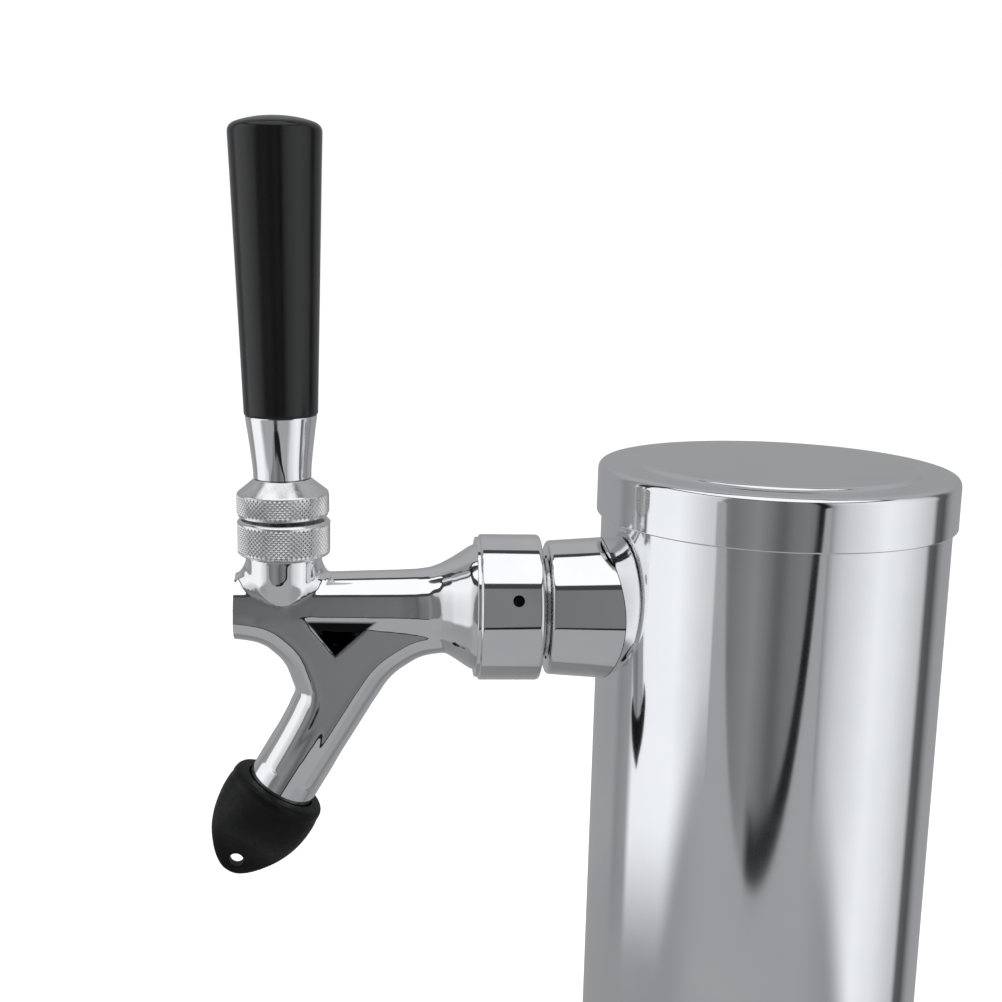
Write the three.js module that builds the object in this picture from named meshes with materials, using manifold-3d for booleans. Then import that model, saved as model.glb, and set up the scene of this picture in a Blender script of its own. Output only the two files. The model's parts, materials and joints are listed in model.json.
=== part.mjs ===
// A single-faucet draft beer tower: a tube column with a lift-off cap on a screw-down flange, a threaded shank through
// the column's wall, and a rear-sealing faucet with a tilting lever handle and a rubber cap on its spout.
// Millimetres, +Z up. The origin is where the column's axis meets the bar top. The faucet reaches out along -X.
import * as THREE from "three";
import { mergeVertices } from "three/addons/utils/BufferGeometryUtils.js";
import Module from "manifold-3d";

const wasm = await Module();
wasm.setup();

// ---- Driving dimensions ----
const fitGap = 0.3; // clearance between a piece and the neighbour it is cut to or turns in
const seatGap = 0.1; // clearance between two flat faces that rest on each other

// Tower
const towerHeight = 305; // bar top to the top of the cap
const faucetDrop = 32.9; // top of the cap down to the faucet's axis
const columnRadius = 38.1;
const columnWall = 1.2;
const flangeRadius = 65;
const flangeThickness = 4;
const hubHeight = 9; // the raised ring round the column's foot, above the flange
const hubWall = 3.2;
const screwInset = 11; // the flange's edge to the middle of a screw hole
const screwHoleRadius = 3.3;
const screwHoleCount = 4;
const gasketThickness = 3;
const gasketLip = 4; // how far the gasket reaches in past the column's inner wall
const capWall = 0.8;
const capSkirt = 9.2; // straight part of the cap's side
const capEdgeRadius = 1.8;
const capStepHeight = 0.7;
const capStepInset = 8; // the cap's side to the foot of its raised middle
const capSealThickness = 1.2;

// Shank, collar and coupling nut, along the faucet's axis
const shankRadius = 11.1;
const shankBoreRadius = 3.2;
const shankSocketDepth = 6;
const shankShoulderStep = 1.8; // how far the shoulder stands out from the shank
const shankShoulderLength = 3.7;
const shankInsideLength = 21; // shank that stands inside the column, past the inner wall
const collarLength = 12.2; // column's surface to the collar's front face
const collarWall = 3.3; // at its front
const collarTaper = 1.2; // how much wider the collar is where it meets the column
const nutGap = 1.5; // open groove between the collar and the coupling nut
const nutWall = 2.1;
const nutLength = 14.2;
const nutLip = 2.5; // inner flange that catches the shank's shoulder
const nutHoleRadius = 1.25;
const nutHoleTurn = 19; // degrees, from the sides up to the first hole
const nutHoleDepth = 1.4;
const nutHoleCount = 4;
const couplingWasherThickness = 1.5;
const saddleWall = 4.1;
const saddleClearance = 1.1; // the column's inner wall to the locknut's corners, which the saddle makes up
const locknutWall = 3.6; // thread to a flat
const locknutThickness = 6;
const tailNutWall = 2.1;
const tailNutLength = 13;
const tailNutLip = 2.4;
const tailWasherThickness = 1.5;
const tailFlangeInset = 1.6; // how much slimmer the tail's flange is than the shank
const tailFlangeThickness = 2;
const tailTubeRadius = 4.6;
const tailBoreRadius = 2.6;
const tailBendRadius = 10;
const tailReach = 11; // tail flange to the start of the bend
const tailDrop = 24; // end of the bend down to the barb's tip
const barbStep = 0.9;
const barbPitch = 5;
const barbCount = 4;

// Faucet body
const bodyLength = 52.4; // front face to the coupling nut
const barrelWall = 2.6; // at its front
const barrelTaper = 1.1; // how much thicker the barrel is at its rear
const flareLength = 12;
const flareStep = 0.5; // how far the flare stands out from the thread behind it
const bodyThreadClearance = 0.7; // how much wider the thread is than the shank's shoulder
const bodyThreadLength = 6;
const chamberRadius = 8;
const seatSetback = 13; // rear face of the body forward to the valve seat
const leverSetback = 10.9; // front face back to the lever's axis
const neckStep = 0.6; // how far the neck stands out from its spigot
const neckHeight = 11.5;
const neckBoreRadius = 5.6;
const neckSpigotHeight = 2.6;
const neckFlareReach = 3.2;
const archRadius = 5.4;
const archWiden = 1.4; // how much wider the arches are across than along the faucet
const archBoreRadius = 3.8;
const webThickness = 6;
const spoutAngle = THREE.MathUtils.degToRad(30); // off the vertical, towards the front
const spoutWall = 3.1;
const spoutLength = 27; // straight part, from the outlet up to where the two arches part
const spoutBoreRadius = 4.6;
const outletReach = 5.8; // front face back to the middle of the outlet
const outletDrop = 47.9; // faucet's axis down to the middle of the outlet

// Lever, its packing and handle. Heights on the lever are above its pivot.
const pivotRise = 1; // the neck's top to the lever's pivot
const leverLean = THREE.MathUtils.degToRad(1.1); // how far the closed lever leans forward
const leverBallRadius = 4.8;
const leverArmRadius = 1.3;
const leverTipRadius = 2.2;
const leverStemRadius = 2.6;
const leverThreadRadius = 4.4;
const ballWasherWidth = 1.6; // how far it reaches out past the ball
const ballWasherPocketWall = 0.9;
const ballWasherThickness = 1.6;
const frictionWasherThickness = 1.6;
const bonnetWall = 2.1;
const bonnetHeight = 7.7;
const bonnetTopThickness = 3.4;
const bonnetEdge = 1; // chamfer on the bonnet's upper edge
const collarGap = 0.8; // between the bonnet and the lever collar's skirt
const leverCollarHeight = 5;
const leverCollarTaper = 0.4; // how much slimmer the collar is at its lower edge
const leverCollarSkirtWall = 0.5;
const leverCollarHollow = 3.3;
const coneHeight = 3;
const ferruleFootRadius = 6.1;
const ferruleTopRadius = 7.6;
const ferruleHeight = 13.5;
const ferruleSocketDepth = 9;
const ferruleFootLength = 3; // straight part at the ferrule's foot
const gripFootRadius = 7.85;
const gripTopRadius = 9.75;
const gripLength = 59.4;
const gripDome = 2.4;
const insertRadius = 3;
const insertDepth = 22; // insert's length inside the grip
const insertRoot = 2.5; // insert's length inside the ferrule

// Valve shaft
const shaftRadius = 4.3;
const shaftStemRadius = 2.4;
const shaftFrontGap = 0.8; // front face of the body to the shaft's end
const shaftGuideLength = 16;
const shaftShoulderLength = 2.4;
const shaftThreadLength = 6.6;
const slotRelief = 1; // extra length of the shaft's slot above its middle, where the tilted arm leans forward
const seatWasherRadius = 6.6;
const seatWasherThickness = 2.4;
const seatCrush = 0.2; // air between the washer and the seat, where the rubber bears
const shaftNutFlats = 8;
const shaftNutThickness = 2.6;

// Rubber cap on the spout. It is round at the mouth and flattens to a tongue with a hole.
const plugWall = 3.2;
const plugLength = 23.5;
const plugShoulder = 8; // mouth down to where the outline starts to round
const plugRim = 2.4;
const plugSocketDepth = 8;
const plugTipThickness = 2.6;
const plugHoleRadius = 1.6;
const plugHoleInset = 3.7; // tongue's tip to the middle of the hole

// ---- Places worked out from the sizes ----
const faucetHeight = towerHeight - faucetDrop;
const screwCircleRadius = flangeRadius - screwInset;
const columnInner = columnRadius - columnWall;
const capSideTop = towerHeight - capStepHeight - capEdgeRadius;
const capStepRadius = columnRadius + fitGap + capWall - capStepInset;
const shankShoulderRadius = shankRadius + shankShoulderStep;
const bodyThreadRadius = shankShoulderRadius + bodyThreadClearance;
const nutRadius = bodyThreadRadius + fitGap + nutWall;
const collarFrontRadius = shankRadius + fitGap + collarWall;
const collarRearRadius = collarFrontRadius + collarTaper;
const saddleRadius = shankRadius + fitGap + saddleWall;
const locknutFlats = 2 * (shankRadius + fitGap + locknutWall); // across flats
const locknutCorner = locknutFlats / 2 / Math.cos(Math.PI / 6);
const tailNutFlats = 2 * (shankRadius + fitGap + tailNutWall);
const tailFlangeRadius = shankRadius - tailFlangeInset;
const barrelBoreRadius = shaftRadius + fitGap;
const barrelFrontRadius = barrelBoreRadius + barrelWall;
const barrelRearRadius = barrelFrontRadius + barrelTaper;
const flareRadius = bodyThreadRadius + flareStep;
const collarFront = -(columnRadius + collarLength);
const nutRear = collarFront - nutGap;
const nutFront = nutRear - nutLength;
const bodyFront = nutFront - bodyLength;
const bodyRear = nutFront + bodyThreadLength;
const seatX = bodyRear - seatSetback;
const leverX = bodyFront + leverSetback;
const washerFront = bodyRear + seatGap;
const shankFront = washerFront + couplingWasherThickness + seatGap;
const shankShoulderRear = shankFront + shankShoulderLength;
const shankRear = -columnInner + shankInsideLength;
const saddleRear = -Math.sqrt(columnInner ** 2 - locknutCorner ** 2) + saddleClearance;
const locknutFront = saddleRear + seatGap;
const outletX = bodyFront + outletReach;
const spoutRadius = spoutBoreRadius + spoutWall;
const plugRadius = spoutRadius + fitGap + plugWall;
const pivotHeight = neckHeight + pivotRise; // above the faucet's axis
const leverArmLength = pivotHeight; // the arm's tip works on the shaft's axis
const ballWasherRadius = leverBallRadius + ballWasherWidth;
const neckSpigotRadius = ballWasherRadius + fitGap + ballWasherPocketWall;
const neckRadius = neckSpigotRadius + neckStep;
const bonnetRadius = neckSpigotRadius + fitGap + bonnetWall;
const tipX = leverX + leverArmLength * Math.sin(leverLean);
const bonnetFoot = neckHeight + fitGap;
const bonnetTop = bonnetFoot + bonnetHeight;
const skirtFoot = bonnetTop + collarGap - pivotHeight; // on the lever, as are the next heights
const coneFoot = skirtFoot + leverCollarHeight;
const ferruleFoot = coneFoot + coneHeight + seatGap;
const gripFoot = ferruleFoot + ferruleHeight + seatGap;
const spoutDown = new THREE.Vector3(-Math.sin(spoutAngle), 0, -Math.cos(spoutAngle));

// ---- Materials ----
function metal(color, roughness) {
  return new THREE.MeshStandardMaterial({ color, roughness, metalness: 1 });
}
function polymer(color, roughness) {
  return new THREE.MeshStandardMaterial({ color, roughness, metalness: 0 });
}
const polishedSteel = metal(0xd4d6d8, 0.08);
const chromePlate = metal(0xdcdee0, 0.06);
const satinChrome = metal(0xb9bbbd, 0.3);
const plainBrass = metal(0xb08d4a, 0.35);
const blackGrip = polymer(0x121212, 0.35);
const blackRubber = polymer(0x161616, 0.7);
const greyRubber = polymer(0x3a3a3c, 0.75);
const whiteNylon = polymer(0xe4e2da, 0.5);

// ---- Solids ----
const roundSteps = 24;
const columnSteps = 48;

// A closed geometry as a manifold-3d solid.
function solidOf(geometry) {
  const bare = geometry.clone();
  bare.deleteAttribute("normal");
  bare.deleteAttribute("uv");
  const merged = mergeVertices(bare, 1e-4);
  return new wasm.Manifold(
    new wasm.Mesh({
      numProp: 3,
      vertProperties: new Float32Array(merged.attributes.position.array),
      triVerts: new Uint32Array(merged.index.array),
    }),
  );
}

// A turned piece about +Z. Its profile is [radius, height] points that run up the outside and down the inside.
function turned(profile, steps = roundSteps) {
  const onAxis = profile[0][0] === 0 && profile.at(-1)[0] === 0;
  const closed = onAxis ? profile : [...profile, profile[0]];
  const points = closed.map(([radius, height]) => new THREE.Vector2(radius, height));
  return solidOf(new THREE.LatheGeometry(points, steps).rotateX(Math.PI / 2));
}

// The same about +X, with [radius, x] points that run towards +X on the outside.
function turnedAlongX(profile, steps = roundSteps) {
  return turned(profile, steps).rotate([0, 90, 0]);
}

// A cylinder about +Z, or about +X.
function rod(radius, low, high, steps = roundSteps) {
  return turned([[0, low], [radius, low], [radius, high], [0, high]], steps);
}
function rodAlongX(radius, low, high, steps = roundSteps) {
  return rod(radius, low, high, steps).rotate([0, 90, 0]);
}

// A ring about +Z, or about +X.
function ring(inner, outer, low, high, steps = roundSteps) {
  return turned([[outer, low], [outer, high], [inner, high], [inner, low]], steps);
}
function ringAlongX(inner, outer, low, high, steps = roundSteps) {
  return ring(inner, outer, low, high, steps).rotate([0, 90, 0]);
}

// A box from its low and high corners.
function block(low, high) {
  const size = high.map((h, i) => h - low[i]);
  const middle = high.map((h, i) => (h + low[i]) / 2);
  return solidOf(new THREE.BoxGeometry(...size).translate(...middle));
}

// A six-sided nut blank along +X, with a round hole.
function hexAlongX(flats, holeRadius, low, high) {
  const corner = flats / 2 / Math.cos(Math.PI / 6);
  return rodAlongX(corner, low, high, 6).subtract(rodAlongX(holeRadius, low - 1, high + 1));
}

// A round tube or rod that follows a curve.
function swept(curve, radius, steps, sides = 16) {
  const section = new THREE.Shape();
  section.absarc(0, 0, radius, 0, 2 * Math.PI);
  const options = { steps, curveSegments: sides / 2, extrudePath: curve, bevelEnabled: false };
  return solidOf(new THREE.ExtrudeGeometry(section, options));
}

// A plate in the XZ plane, centred on y = 0.
function plate(outline, thickness) {
  const shape = new THREE.Shape(outline.map((p) => new THREE.Vector2(p.x, p.z)));
  const slab = new THREE.ExtrudeGeometry(shape, { depth: thickness, bevelEnabled: false });
  return solidOf(slab.rotateX(Math.PI / 2).translate(0, thickness / 2, 0));
}

// [radius, height] points along a quadratic curve from one point to another.
function bend(from, control, to, steps) {
  const curve = new THREE.QuadraticBezierCurve(
    new THREE.Vector2(...from),
    new THREE.Vector2(...control),
    new THREE.Vector2(...to),
  );
  return curve.getPoints(steps).map((p) => [p.x, p.y]);
}

// [radius, height] points along a quarter of a circle.
function arc(centreRadius, centreHeight, radius, fromDegrees, toDegrees, steps) {
  return Array.from({ length: steps + 1 }, (_, i) => {
    const angle = THREE.MathUtils.degToRad(fromDegrees + ((toDegrees - fromDegrees) * i) / steps);
    return [centreRadius + radius * Math.cos(angle), centreHeight + radius * Math.sin(angle)];
  });
}

function point(x, z) {
  return new THREE.Vector3(x, 0, z);
}

// A solid as a named mesh of its group.
function piece(group, name, solid, material) {
  const made = solid.getMesh();
  const geometry = new THREE.BufferGeometry();
  geometry.setAttribute("position", new THREE.BufferAttribute(made.vertProperties, made.numProp));
  geometry.setIndex(new THREE.BufferAttribute(made.triVerts, 1));
  geometry.computeVertexNormals();
  const mesh = new THREE.Mesh(geometry, material);
  mesh.name = name;
  group.add(mesh);
}

// ---- Tower ----
function screwHoles() {
  const step = (2 * Math.PI) / screwHoleCount;
  return Array.from({ length: screwHoleCount }, (_, i) => {
    const angle = step * (i + 0.5);
    const x = screwCircleRadius * Math.cos(angle);
    const y = screwCircleRadius * Math.sin(angle);
    return rod(screwHoleRadius, -1, gasketThickness + flangeThickness + 1, 16).translate(x, y, 0);
  });
}

function withScrewHoles(solid) {
  return screwHoles().reduce((left, hole) => left.subtract(hole), solid);
}

function baseGasket() {
  return withScrewHoles(ring(columnInner - gasketLip, flangeRadius, 0, gasketThickness, columnSteps));
}

function baseFlange() {
  const low = gasketThickness + seatGap;
  const top = low + flangeThickness;
  const hubTop = top + hubHeight;
  const bore = columnRadius + fitGap;
  const hub = bore + hubWall;
  const edge = flangeThickness / 2;
  const fillet = hubHeight / 2;
  const profile = [
    ...arc(flangeRadius - edge, low + edge, edge, -60, 60, 2),
    ...arc(hub + fillet, top + fillet, fillet, 270, 180, 3),
    ...arc(hub - 1, hubTop - 1, 1, 0, 90, 2),
    [bore, hubTop],
    [bore, low],
  ];
  return withScrewHoles(turned(profile, columnSteps));
}

function columnTube() {
  const low = gasketThickness + seatGap;
  const top = towerHeight - capStepHeight - capWall - capSealThickness - 2 * seatGap;
  const hole = rodAlongX(shankRadius + fitGap, -columnRadius - 2, 0);
  return ring(columnInner, columnRadius, low, top, columnSteps).subtract(hole.translate(0, 0, faucetHeight));
}

function towerCap() {
  const inner = columnRadius + fitGap;
  const outer = inner + capWall;
  const flat = towerHeight - capStepHeight;
  return turned([
    [0, towerHeight - capWall],
    [capStepRadius - capStepHeight - capWall / 2, towerHeight - capWall],
    [capStepRadius - capWall / 2, flat - capWall],
    [inner, flat - capWall],
    [inner, capSideTop - capSkirt],
    [outer, capSideTop - capSkirt],
    ...arc(outer - capEdgeRadius, capSideTop, capEdgeRadius, 0, 90, 3),
    [capStepRadius, flat],
    [capStepRadius - capStepHeight, towerHeight],
    [0, towerHeight],
  ], columnSteps);
}

function capSealRing() {
  const top = towerHeight - capStepHeight - capWall - seatGap;
  return ring(columnInner - 1, columnRadius, top - capSealThickness, top, columnSteps);
}

// ---- Shank through the column, in the faucet's group: its axis is the X axis ----
function shank() {
  return turnedAlongX([
    [chamberRadius, shankFront],
    [shankShoulderRadius, shankFront],
    [shankShoulderRadius, shankShoulderRear],
    [shankRadius, shankShoulderRear],
    [shankRadius, shankRear],
    [shankBoreRadius, shankRear],
    [shankBoreRadius, shankFront + shankSocketDepth],
    [chamberRadius, shankFront + shankSocketDepth],
  ]);
}

function shankCollar() {
  const edge = 0.8;
  const blank = turnedAlongX([
    [collarFrontRadius - edge, collarFront],
    [collarFrontRadius, collarFront + edge],
    [collarRearRadius, -columnInner],
    [shankRadius + fitGap, -columnInner],
    [shankRadius + fitGap, collarFront],
  ]);
  const reach = collarRearRadius + 2;
  return blank.subtract(rod(columnRadius + fitGap, -reach, reach, columnSteps));
}

function couplingNut() {
  const edge = 0.9;
  const lipFront = nutRear - nutLip;
  const blank = turnedAlongX([
    [bodyThreadRadius + fitGap, nutFront],
    [nutRadius - edge / 2, nutFront],
    [nutRadius, nutFront + edge / 2],
    [nutRadius, nutRear - edge],
    [nutRadius - edge, nutRear],
    [shankRadius + fitGap, nutRear],
    [shankRadius + fitGap, lipFront],
    [bodyThreadRadius + fitGap, lipFront],
  ]);
  const middle = (nutFront + nutRear) / 2 + 1.4;
  const step = 360 / nutHoleCount;
  const hole = rod(nutHoleRadius, nutRadius - nutHoleDepth, nutRadius + 1, 12).translate(middle, 0, 0);
  return Array.from({ length: nutHoleCount }, (_, i) => hole.rotate([90 - nutHoleTurn + i * step, 0, 0])).reduce(
    (left, cut) => left.subtract(cut),
    blank,
  );
}

function couplingWasher() {
  const rear = washerFront + couplingWasherThickness;
  return ringAlongX(chamberRadius + fitGap, bodyThreadRadius - fitGap, washerFront, rear);
}

function innerSaddle() {
  const blank = ringAlongX(shankRadius + fitGap, saddleRadius, -columnInner, saddleRear);
  return blank.intersect(rod(columnInner - fitGap, -saddleRadius - 2, saddleRadius + 2, columnSteps));
}

function shankLocknut() {
  return hexAlongX(locknutFlats, shankRadius + fitGap, locknutFront, locknutFront + locknutThickness);
}

const tailWasherFront = shankRear + seatGap;
const tailFlangeFront = tailWasherFront + tailWasherThickness + seatGap;
const tailNutRear = tailFlangeFront + tailFlangeThickness + seatGap + tailNutLip;
const tailNutFront = tailNutRear - tailNutLength;

function tailWasher() {
  const rear = tailWasherFront + tailWasherThickness;
  return ringAlongX(shankBoreRadius, tailFlangeRadius, tailWasherFront, rear);
}

function tailNut() {
  const lipFront = tailNutRear - tailNutLip;
  const blank = hexAlongX(tailNutFlats, tailTubeRadius + fitGap, tailNutFront, tailNutRear);
  return blank.subtract(rodAlongX(shankRadius + fitGap, tailNutFront - 1, lipFront));
}

function tailElbow() {
  const bendStart = tailFlangeFront + tailReach;
  const bendEnd = point(bendStart + tailBendRadius, -tailBendRadius);
  const tipZ = -tailBendRadius - tailDrop;
  const path = (start, end) => {
    const line = new THREE.CurvePath();
    line.add(new THREE.LineCurve3(start, point(bendStart, 0)));
    line.add(new THREE.QuadraticBezierCurve3(point(bendStart, 0), point(bendEnd.x, 0), bendEnd));
    line.add(new THREE.LineCurve3(bendEnd, end));
    return line;
  };
  const tube = swept(path(point(tailFlangeFront + 0.5, 0), point(bendEnd.x, tipZ)), tailTubeRadius, 14);
  const bore = swept(path(point(tailFlangeFront - 1, 0), point(bendEnd.x, tipZ - 1)), tailBoreRadius, 14, 12);
  const flange = ringAlongX(
    tailBoreRadius,
    tailFlangeRadius,
    tailFlangeFront,
    tailFlangeFront + tailFlangeThickness,
  );
  const barbs = [];
  for (let i = 0; i < barbCount; i++) {
    const low = tipZ + i * barbPitch;
    const crest = [tailTubeRadius + barbStep, low + barbPitch - 0.8];
    barbs.push([tailTubeRadius, low], crest, [tailTubeRadius, low + barbPitch]);
  }
  const top = tipZ + barbCount * barbPitch;
  const barb = turned([[0, tipZ], ...barbs, [0, top]]).translate(bendEnd.x, 0, 0);
  return tube.add(flange).add(barb).subtract(bore);
}

// ---- Faucet body ----
const outlet = point(outletX, -outletDrop);
const alongSpout = (distance, offset = 0) =>
  outlet.clone().addScaledVector(spoutDown, -distance).add(point(offset * spoutDown.z, -offset * spoutDown.x));

// The middle of the front arch, from the front face down to the spout.
const frontArch = new THREE.CatmullRomCurve3([
  point(bodyFront + 3, -1.9),
  point(bodyFront + 8.5, -3.7),
  point(bodyFront + 12.4, -6.5),
  point(bodyFront + 15.3, -9.7),
  point(bodyFront + 17.4, -14.3),
  point(bodyFront + 17.8, -19.2),
  alongSpout(24, 0.6),
  alongSpout(18),
]);

// The middle of the rear arch, from the flare down to the spout. It spreads over the length from the nut to the spout.
const rearSpan = nutFront - alongSpout(24).x;
const rearArch = new THREE.CatmullRomCurve3([
  point(nutFront - 0.12 * rearSpan, -4),
  point(nutFront - 0.24 * rearSpan, -4.9),
  point(nutFront - 0.38 * rearSpan, -6),
  point(nutFront - 0.49 * rearSpan, -8),
  point(nutFront - 0.63 * rearSpan, -11.9),
  point(nutFront - 0.76 * rearSpan, -17.2),
  alongSpout(25, -1.2),
  alongSpout(18),
]);

// Stands a piece that was made on +Z on the outlet, along the spout.
function ontoSpout(solid) {
  return solid.rotate([0, THREE.MathUtils.radToDeg(spoutAngle), 0]).translate(outlet.x, 0, outlet.z);
}

function faucetBody() {
  const flareStart = nutFront - flareLength;
  const barrel = turnedAlongX([
    [0, bodyFront],
    [barrelFrontRadius, bodyFront],
    ...bend([barrelRearRadius, flareStart], [barrelRearRadius + 0.2, flareStart + flareLength / 2], [flareRadius, nutFront - seatGap], 5),
    [bodyThreadRadius, nutFront - seatGap],
    [bodyThreadRadius, bodyRear],
    [0, bodyRear],
  ]);
  const neckTop = neckHeight + neckSpigotHeight;
  const neck = turned([
    [0, 0],
    [neckRadius, 0],
    [neckRadius, neckHeight],
    [neckSpigotRadius, neckHeight],
    [neckSpigotRadius, neckTop],
    [0, neckTop],
  ]).translate(leverX, 0, 0);
  const foot = Math.min(neckRadius + neckFlareReach, leverSetback);
  const flare = [
    point(leverX - foot, 0),
    ...bend([-foot, barrelFrontRadius - 0.8], [-neckRadius, barrelFrontRadius], [-neckRadius, neckHeight - 1], 5)
      .map(([x, z]) => point(leverX + x, z)),
    ...bend([neckRadius, neckHeight - 1], [neckRadius, barrelFrontRadius], [foot, barrelFrontRadius], 5)
      .map(([x, z]) => point(leverX + x, z)),
    point(leverX + foot, 0),
  ];
  const web = plate([...frontArch.getPoints(20).slice(1, 18), ...rearArch.getPoints(20).slice(1, 18).reverse()], webThickness);
  const spout = ontoSpout(rod(spoutRadius, 0, spoutLength));
  const outside = barrel
    .add(neck)
    .add(plate(flare, barrelFrontRadius))
    .add(swept(frontArch, archRadius, 14, 20).scale([1, archWiden, 1]))
    .add(swept(rearArch, archRadius, 14, 20).scale([1, archWiden, 1]))
    .add(web)
    .add(spout);
  const passage = new THREE.CatmullRomCurve3([
    point(seatX - 3.5, 0),
    point(nutFront - 0.38 * rearSpan, -5.4),
    point(nutFront - 0.49 * rearSpan, -8),
    point(nutFront - 0.63 * rearSpan, -11.9),
    point(nutFront - 0.76 * rearSpan, -17.2),
    alongSpout(25, -1.2),
    alongSpout(16),
  ]);
  const spoutBore = rod(spoutBoreRadius, -1, spoutLength - 5);
  return outside
    .subtract(rodAlongX(barrelBoreRadius, bodyFront - 1, seatX + 1))
    .subtract(rodAlongX(chamberRadius, seatX, bodyRear + 1))
    .subtract(swept(passage, archBoreRadius, 12))
    .subtract(ontoSpout(spoutBore))
    .subtract(rod(neckBoreRadius, 0, neckTop + 1).translate(leverX, 0, 0))
    .subtract(rod(ballWasherRadius + fitGap, ballWasherFoot - seatGap, neckTop + 1).translate(leverX, 0, 0));
}

// ---- Lever packing, fixed in the neck ----
const ballWasherFoot = pivotHeight - leverBallRadius + 1.2;
const bonnetCeiling = bonnetTop - bonnetTopThickness;

// A spherical seat round the lever's ball, with its running clearance.
function ballRoom() {
  const ball = new THREE.SphereGeometry(leverBallRadius + fitGap, 24, 14);
  return solidOf(ball.rotateX(Math.PI / 2)).translate(leverX, 0, pivotHeight);
}

function ballWasher() {
  const blank = ring(leverBallRadius - 0.5, ballWasherRadius, ballWasherFoot, ballWasherFoot + ballWasherThickness);
  return blank.translate(leverX, 0, 0).subtract(ballRoom());
}

function frictionWasher() {
  const top = bonnetCeiling - seatGap;
  const blank = ring(leverStemRadius + 1.8, neckSpigotRadius - fitGap, top - frictionWasherThickness, top);
  return blank.translate(leverX, 0, 0).subtract(ballRoom());
}

function compressionBonnet() {
  const mouth = leverStemRadius + 3.5;
  const throat = leverBallRadius - 0.3;
  const blank = turned([
    [neckSpigotRadius + fitGap, bonnetFoot],
    [bonnetRadius - bonnetEdge / 2, bonnetFoot],
    [bonnetRadius, bonnetFoot + bonnetEdge / 2],
    [bonnetRadius, bonnetTop - bonnetEdge],
    [bonnetRadius - bonnetEdge, bonnetTop],
    [mouth, bonnetTop],
    [throat, bonnetCeiling],
    [neckSpigotRadius + fitGap, bonnetCeiling],
  ]);
  return blank.translate(leverX, 0, 0);
}

// ---- Lever and handle, in the lever's own leaning group: the pivot is its origin ----
function lever() {
  const ball = solidOf(new THREE.SphereGeometry(leverBallRadius, 24, 14).rotateX(Math.PI / 2));
  const tip = solidOf(new THREE.SphereGeometry(leverTipRadius, 16, 8).rotateX(Math.PI / 2));
  const threadFoot = skirtFoot + leverCollarHollow - 0.4;
  const threadTop = ferruleFoot + ferruleSocketDepth - 1;
  return ball
    .add(tip.translate(0, 0, -leverArmLength))
    .add(rod(leverArmRadius, -leverArmLength, 0, 16))
    .add(rod(leverStemRadius, 0, threadFoot + 1))
    .add(rod(leverThreadRadius, threadFoot, threadTop));
}

function leverCollar() {
  const low = bonnetRadius - leverCollarTaper;
  const skirt = low - leverCollarSkirtWall;
  const hole = leverThreadRadius + fitGap;
  return turned([
    [skirt, skirtFoot],
    [low, skirtFoot],
    [bonnetRadius, coneFoot - 0.6],
    [bonnetRadius - 0.6, coneFoot],
    [ferruleFootRadius, coneFoot + coneHeight],
    [hole, coneFoot + coneHeight],
    [hole, skirtFoot + leverCollarHollow],
    [skirt - 1.2, skirtFoot + leverCollarHollow],
    [skirt, skirtFoot + leverCollarHollow - 1],
  ]);
}

function handleFerrule() {
  const top = ferruleFoot + ferruleHeight;
  const hole = leverThreadRadius + fitGap;
  const socketTop = ferruleFoot + ferruleSocketDepth;
  const neckTop = ferruleFoot + ferruleFootLength;
  const middle = (neckTop + top) / 2;
  return turned([
    [hole, ferruleFoot],
    [ferruleFootRadius, ferruleFoot],
    ...bend([ferruleFootRadius, neckTop], [ferruleFootRadius + 0.6, middle], [ferruleTopRadius, top], 6),
    [insertRadius + fitGap, top],
    [insertRadius + fitGap, top - insertRoot - fitGap],
    [insertRadius - 1, top - insertRoot - fitGap],
    [insertRadius - 1, socketTop],
    [hole, socketTop],
  ]);
}

function handleGrip() {
  const top = gripFoot + gripLength;
  const edge = 0.8;
  const hole = insertRadius + fitGap;
  return turned([
    [0, gripFoot + insertDepth + fitGap],
    [hole, gripFoot + insertDepth + fitGap],
    [hole, gripFoot],
    [gripFootRadius - edge / 4, gripFoot],
    [gripFootRadius, gripFoot + edge / 4],
    [gripTopRadius, top - edge],
    ...bend([gripTopRadius, top], [gripTopRadius * 0.55, top + gripDome], [0, top + gripDome], 6),
  ]);
}

function handleInsert() {
  return rod(insertRadius, gripFoot - insertRoot, gripFoot + insertDepth, 16);
}

// ---- Valve shaft, in the faucet's group ----
const shaftFront = bodyFront + shaftFrontGap;
const seatWasherFront = seatX + seatCrush;
const shaftNutFront = seatWasherFront + seatWasherThickness + seatGap;

function valveShaft() {
  const guideRear = shaftFront + shaftGuideLength;
  const shoulderFront = seatX - shaftShoulderLength;
  const end = seatX + shaftThreadLength;
  const turnedShaft = turnedAlongX([
    [0, shaftFront],
    [shaftRadius, shaftFront],
    [shaftRadius, guideRear],
    [shaftStemRadius, guideRear + 1.5],
    [shaftStemRadius, shoulderFront - 1],
    [shaftRadius, shoulderFront],
    [shaftRadius, seatX],
    [shaftStemRadius, seatX],
    [shaftStemRadius, end],
    [0, end],
  ]);
  const room = leverTipRadius + 0.35;
  const slot = block([tipX - room, -room, -room], [tipX + room, room, shaftRadius + 1]);
  const relief = block([tipX - room - slotRelief, -room, leverArmRadius], [tipX, room, shaftRadius + 1]);
  return turnedShaft.subtract(slot).subtract(relief);
}

function shaftSeat() {
  const rear = seatWasherFront + seatWasherThickness;
  return ringAlongX(shaftStemRadius + fitGap, seatWasherRadius, seatWasherFront, rear);
}

function shaftNut() {
  return hexAlongX(shaftNutFlats, shaftStemRadius + fitGap, shaftNutFront, shaftNutFront + shaftNutThickness);
}

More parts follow.
